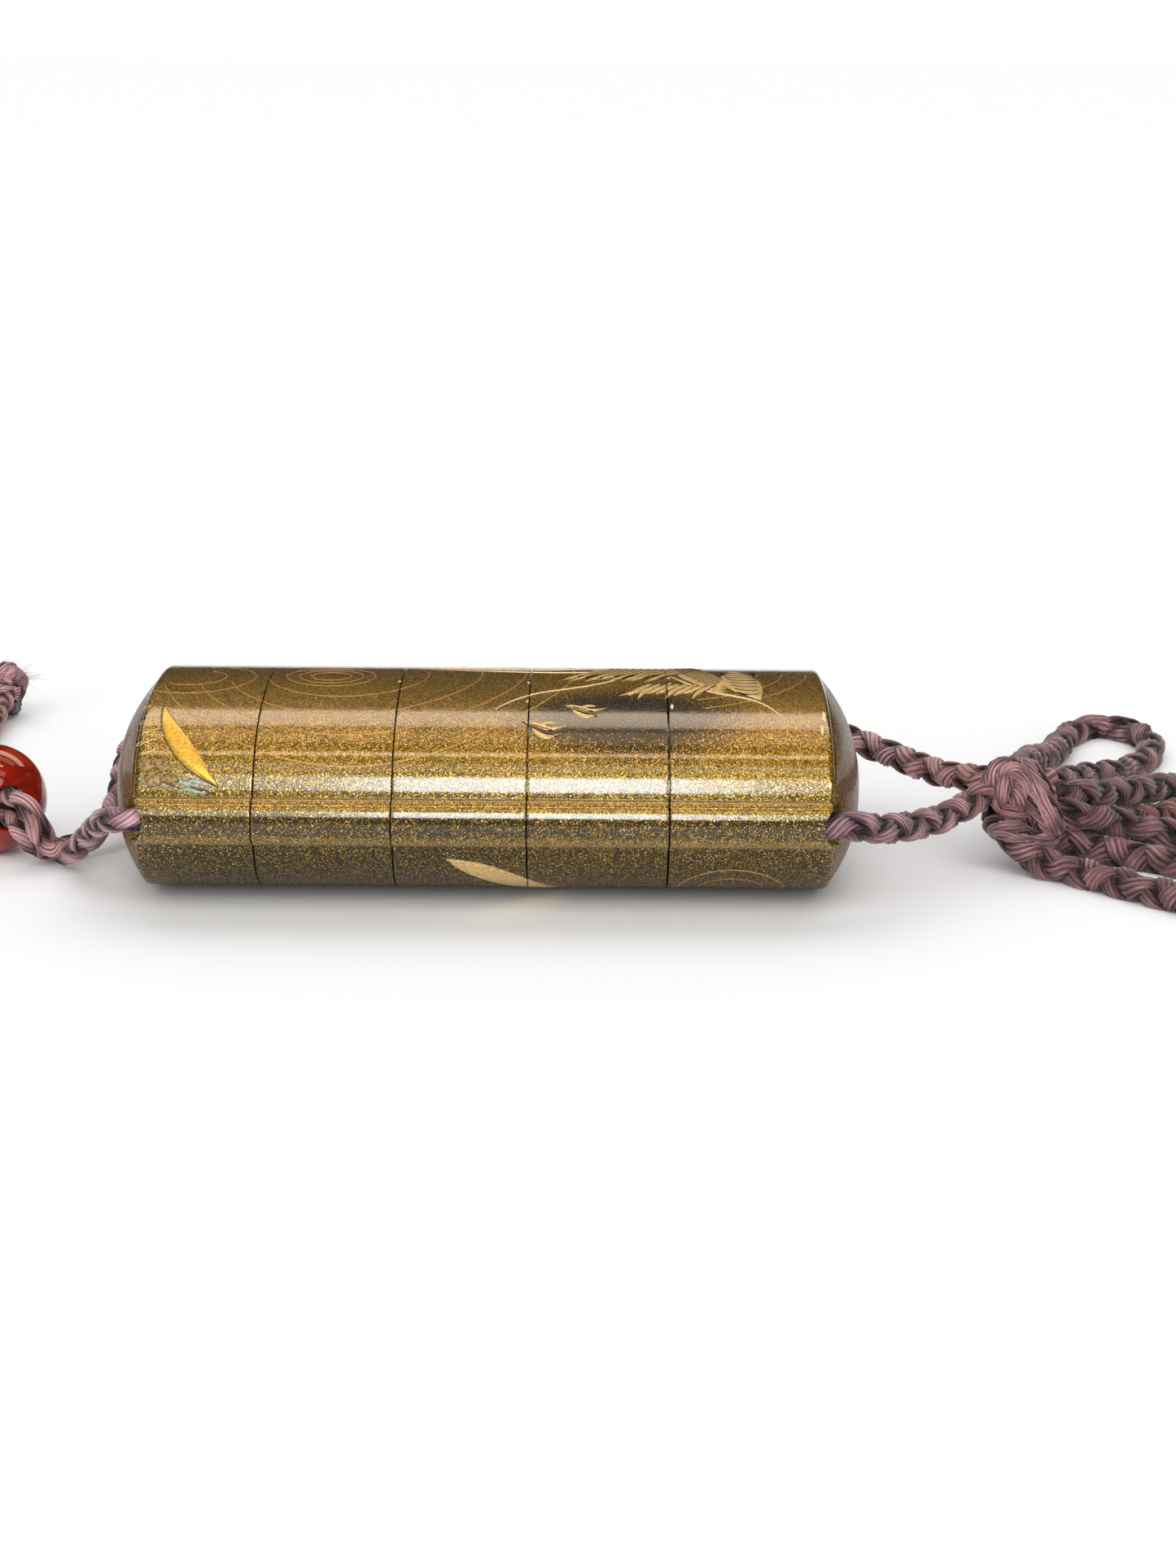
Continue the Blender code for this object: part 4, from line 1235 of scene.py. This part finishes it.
tan_gold = make_relief("matt_tan_gold_relief", "e8ca86", "b08a48", 0.4, 0.42)
pale_gold = make_relief("pale_gold_line", "f4dcb0", "d8b47c", 0.35, 0.42)
bright_gold = make_relief("bright_yellow_gold_relief", "f2c650", "c08c1c", 0.6, 0.42)
faint_gold = make_relief("rubbed_gold_line", "c89c50", "a87c34", 0.45, 0.42)
# dark lines for the leaf veins, and painted shade under the flames and round the crescent
dark_line = make_relief("brown_black_line_and_painted_shade", "3a2a18", "241a10", 0.0, 0.4)
rock_ground = make_relief("gritty_black_gold_rock", "a88440", "2a2218", 0.2, 0.6, grain=0.45)
grey_green = make_relief("grey_green_silver_powder", "a4a890", "5c6450", 0.35, 0.5)

# ripples: rings round a whirl over the first cases, and wider arcs at the far right
RIPPLE_STEPS = 18
ripples = Ornament("ripples", faint_gold)
for centre, reaches, first, last, growth in (
        ((-20.5, -0.5), (2.6, 4.2, 5.8), -180, 170, 0.0),
        ((-20.0, -0.5), (8.6, 13.5, 17.5, 22.0), -20, 165, 0.45),
        ((-38.5, 0.5), (4.6, 8.4), -60, 120, 0.0),
        ((22.5, -4.0), (11.5, 14.5, 17.5), 0, 75, 0.05)):
    for reach in reaches:
        arc = []
        for step in range(RIPPLE_STEPS + 1):
            t = step / RIPPLE_STEPS
            angle = math.radians(first + (last - first) * t)
            away = reach * (1 + growth * (1 - t))
            arc.append((away * math.cos(angle), away * math.sin(angle), 0.10))
        ripples.stroke(arc, 0.045, tapering=False, at=centre)
ripples.lay()

# reeds: long tapering lines that sweep across three cases
reeds = Ornament("reeds", pale_gold)
for path in (
        ((-13.4, -9.8, 0.06), (-4.8, -8.0, 0.14), (3.8, -6.6, 0.17), (10.0, -7.4, 0.2),
         (15.4, -9.4, 0.1)),
        ((-10.0, -7.4, 0.05), (-2.0, -5.6, 0.14), (5.0, -4.4, 0.18), (11.0, -4.4, 0.2),
         (17.0, -5.6, 0.12)),
        ((1.0, 13.6, 0.08), (2.6, 11.4, 0.15), (5.8, 7.9, 0.2), (9.4, 6.2, 0.2), (13.0, 4.2, 0.24),
         (16.0, 1.0, 0.12)),
        ((22.6, -3.4, 0.1), (25.0, 2.2, 0.24), (27.2, 6.2, 0.3), (30.3, 8.2, 0.26), (34.2, 10.2, 0.2),
         (36.8, 15.2, 0.06))):
    reeds.stroke(path, 0.12)
reeds.lay()

# leaf spray and shell: broad tan-gold strokes, with dark lines between them
spray = Ornament("leaf_spray", tan_gold)
veins = Ornament("leaf_veins", dark_line)
for number in range(13):
    root = (11.0 + number * 0.95, 0.0)
    tip = 0.9 * math.sin(number * 2.4)
    spray.stroke(((4.6, -8.4, 0.3), (3.0, -5.6, 0.62), (1.2, -3.2, 0.6), (-0.6, -0.6 + tip, 0.28),
                  (-1.8, 1.0 + tip, 0.02)), 0.13, at=root)
    veins.stroke(((4.9, -8.0, 0.06), (3.6, -5.2, 0.11), (1.6, -2.6, 0.10), (0.2, -0.8 + tip, 0.02)),
                 0.19, tapering=False, at=root)
for number in range(7):
    spread = number / 6
    spray.stroke(((23.4 + spread * 2.4, -9.6, 0.5), (24.0 + spread * 3.4, -5.0 - spread * 0.6, 0.62),
                  (25.6 + spread * 3.2, 0.4 - spread * 3.0, 0.6),
                  (28.4 + spread * 1.2, 5.4 - spread * 4.2, 0.34),
                  (30.2, 8.0 - spread * 6.4, 0.02)), 0.12)
    veins.stroke(((23.8 + spread * 2.4, -9.2, 0.06), (24.5 + spread * 3.4, -4.8 - spread * 0.6, 0.12),
                  (26.1 + spread * 3.2, 0.2 - spread * 3.0, 0.11),
                  (28.6 + spread * 1.2, 4.8 - spread * 4.2, 0.03)), 0.19, tapering=False)
for number in range(8):
    root = (18.2 + number * 1.15, 0.0)
    drop = 8.6 + 1.3 * math.sin(number * 1.9)
    spray.stroke(((2.4, 3.4, 0.3), (1.4, 5.0, 0.66), (0.3, 6.8, 0.5), (-0.5, drop, 0.03)), 0.15,
                 at=root)
    veins.stroke(((2.7, 4.0, 0.05), (1.9, 5.4, 0.08), (0.9, 7.2, 0.03)), 0.21, tapering=False,
                 at=root)
spray.stroke(((28.6, 5.6, 0.1), (26.4, 5.2, 0.8), (23.8, 4.6, 0.9), (21.2, 5.0, 0.7),
              (18.0, 7.6, 0.3), (16.6, 8.6, 0.03)), 0.17)
spray.stroke(((31.6, -5.4, 0.8), (31.7, -3.0, 2.0), (31.9, 0.0, 2.5), (32.4, 3.4, 2.5),
              (33.2, 6.6, 1.8), (34.4, 10.0, 0.05)), 0.14)
for number in range(8):
    s = -4.4 + number * 1.75
    lean = 0.5 + number * 0.16
    veins.stroke(((29.6 + number * 0.28, s - lean * 0.4, 0.05), (31.2 + number * 0.22, s + 0.5, 0.13),
                  (32.8 + number * 0.16, s + 0.2, 0.13), (34.2, s - 0.3 + lean * 0.3, 0.04)), 0.21,
                 tapering=False)
spray.lay()
veins.lay()

# two small flames, a flat blade of grass with a thin ring beside it, and chips along the seams
flames = Ornament("small_flames", tan_gold)
# the flame shades are painted shade: dark strokes under and across each flame
flame_shades = Ornament("flame_shades", dark_line)
for root in ((11.6, 13.6), (6.6, 18.4)):
    flame_shades.stroke(((-2.2, -1.3, 0.1), (-0.8, -0.7, 0.85), (0.6, 0.3, 1.05), (1.6, 1.0, 0.8),
                         (3.2, 0.2, 0.1)), 0.05, tapering=False, at=root)
    for lean, drop in ((0.0, 0.3), (0.5, 1.5)):
        flame_shades.stroke(((-0.9 + lean, -0.9 + drop, 0.05), (0.4 + lean, -0.1 + drop, 0.1),
                             (1.6 + lean, 0.4 + drop, 0.03)), 0.2, tapering=False, at=root)
    flames.stroke(((-2.0, -1.2, 0.04), (-0.8, -1.0, 0.5), (0.4, -0.2, 0.62), (1.6, 0.6, 0.34),
                   (3.4, -0.6, 0.03)), 0.15, at=root)
    flames.stroke(((-1.0, 0.1, 0.05), (-0.2, 1.2, 0.55), (0.9, 2.2, 0.5), (2.4, 1.4, 0.03)), 0.13,
                  at=root)
    flames.stroke(((0.2, -0.6, 0.3), (1.1, -1.4, 0.36), (2.1, -1.0, 0.03)), 0.12, at=root)
flames.stroke(((-4.6, 42.0, 0.04), (-2.4, 43.4, 1.3), (0.6, 45.2, 2.1), (3.6, 48.4, 2.4),
               (6.6, 52.6, 2.1), (9.4, 57.0, 0.6), (10.4, 58.6, 0.05)), 0.07)
flames.lay()
flame_shades.lay()
rings = Ornament("thin_rings", faint_gold)
for reach, width in ((6.6, 0.12), (4.0, 0.08)):
    arc = [(reach * math.cos(math.radians(angle)), reach * math.sin(math.radians(angle)), width)
           for angle in range(170, 381, 15)]
    rings.stroke(arc, 0.045, tapering=False, at=(30.6, 50.4))
rings.lay()
chips = Ornament("seam_chips", pale_gold)
for x, s, length in ((-11.6, 2.4, 0.5), (4.95, 2.6, 0.7), (4.9, 11.0, 0.4), (22.95, -1.0, 0.8),
                     (23.0, 2.6, 0.6), (23.1, 12.4, 0.9), (42.0, 15.0, 1.6), (41.6, 18.4, 1.2),
                     (42.2, 27.6, 0.6)):
    chips.stroke(((0.0, -length, 0.04), (0.1, -length / 3, 0.26), (-0.05, length / 3, 0.24),
                  (0.05, length, 0.05)), 0.05, at=(x, s))
chips.lay()

# crescent over a rocky shore, at the left end of the lid
CRESCENT = ((-40.4, 13.4, 0.03), (-39.8, 16.6, 0.75), (-38.6, 20.2, 1.32), (-37.0, 23.4, 1.45),
            (-35.0, 26.0, 1.0), (-32.4, 28.4, 0.03))
# painted shadow: a dark stroke a little wider than the crescent and offset from it, and small dark
# strokes by the shore
shade = Ornament("crescent_painted_shadow", dark_line)
shade.stroke([(x, s, width + 0.12) for x, s, width in CRESCENT], 0.05, at=(-0.05, 0.05))
for root in ((-41.6, 27.4), (-40.2, 28.0), (-38.6, 28.6), (-36.6, 28.6), (-35.0, 29.0)):
    shade.stroke(((0.0, -0.5, 0.05), (1.0, -0.2, 0.14), (2.2, 0.3, 0.05)), 0.14, at=root)
shade.lay()
crescent = Ornament("crescent", bright_gold)
crescent.stroke(CRESCENT, 0.24)
crescent.lay()
shore = Ornament("shore_rocks", rock_ground)
for x, s, wide in ((-41.4, 25.4, 1.2), (-39.6, 25.6, 1.1), (-40.6, 27.6, 1.3), (-38.4, 27.4, 0.9)):
    shore.stroke(((-1.0, 0.0, 0.1), (-0.4, -0.3, wide), (0.5, 0.1, wide * 0.9), (1.2, 0.4, 0.1)),
                 0.16, at=(x, s))
shore.lay()
waves = Ornament("shore_waves", tan_gold)
for row in range(5):
    for column in range(3):
        middle = (-42.1 + column * 1.15 + (row % 2) * 0.5, 14.2 + row * 2.1 + column * 0.3)
        for reach in (0.95, 0.5):
            arc = [(0.8 * reach * math.cos(math.radians(angle)),
                    -reach * math.sin(math.radians(angle)), 0.06) for angle in range(0, 181, 30)]
            waves.stroke(arc, 0.06, at=middle)
for number in range(6):
    waves.stroke(((-42.4, 1.4, 0.05), (-41.2, 0.9, 0.13), (-40.2 + number * 0.12, 0.0, 0.03)), 0.1,
                 at=(0.0, 15.0 + number * 1.9))
waves.lay()
mist = Ornament("shore_mist", grey_green)
for x, s, length in ((-38.8, 28.0, 4.4), (-37.6, 29.0, 4.0), (-36.4, 27.9, 3.2)):
    mist.stroke(((0.0, 0.0, 0.1), (length * 0.35, -0.4, 0.42), (length * 0.7, 0.3, 0.3),
                 (length, 0.1, 0.03)), 0.08, at=(x, s))
mist.lay()
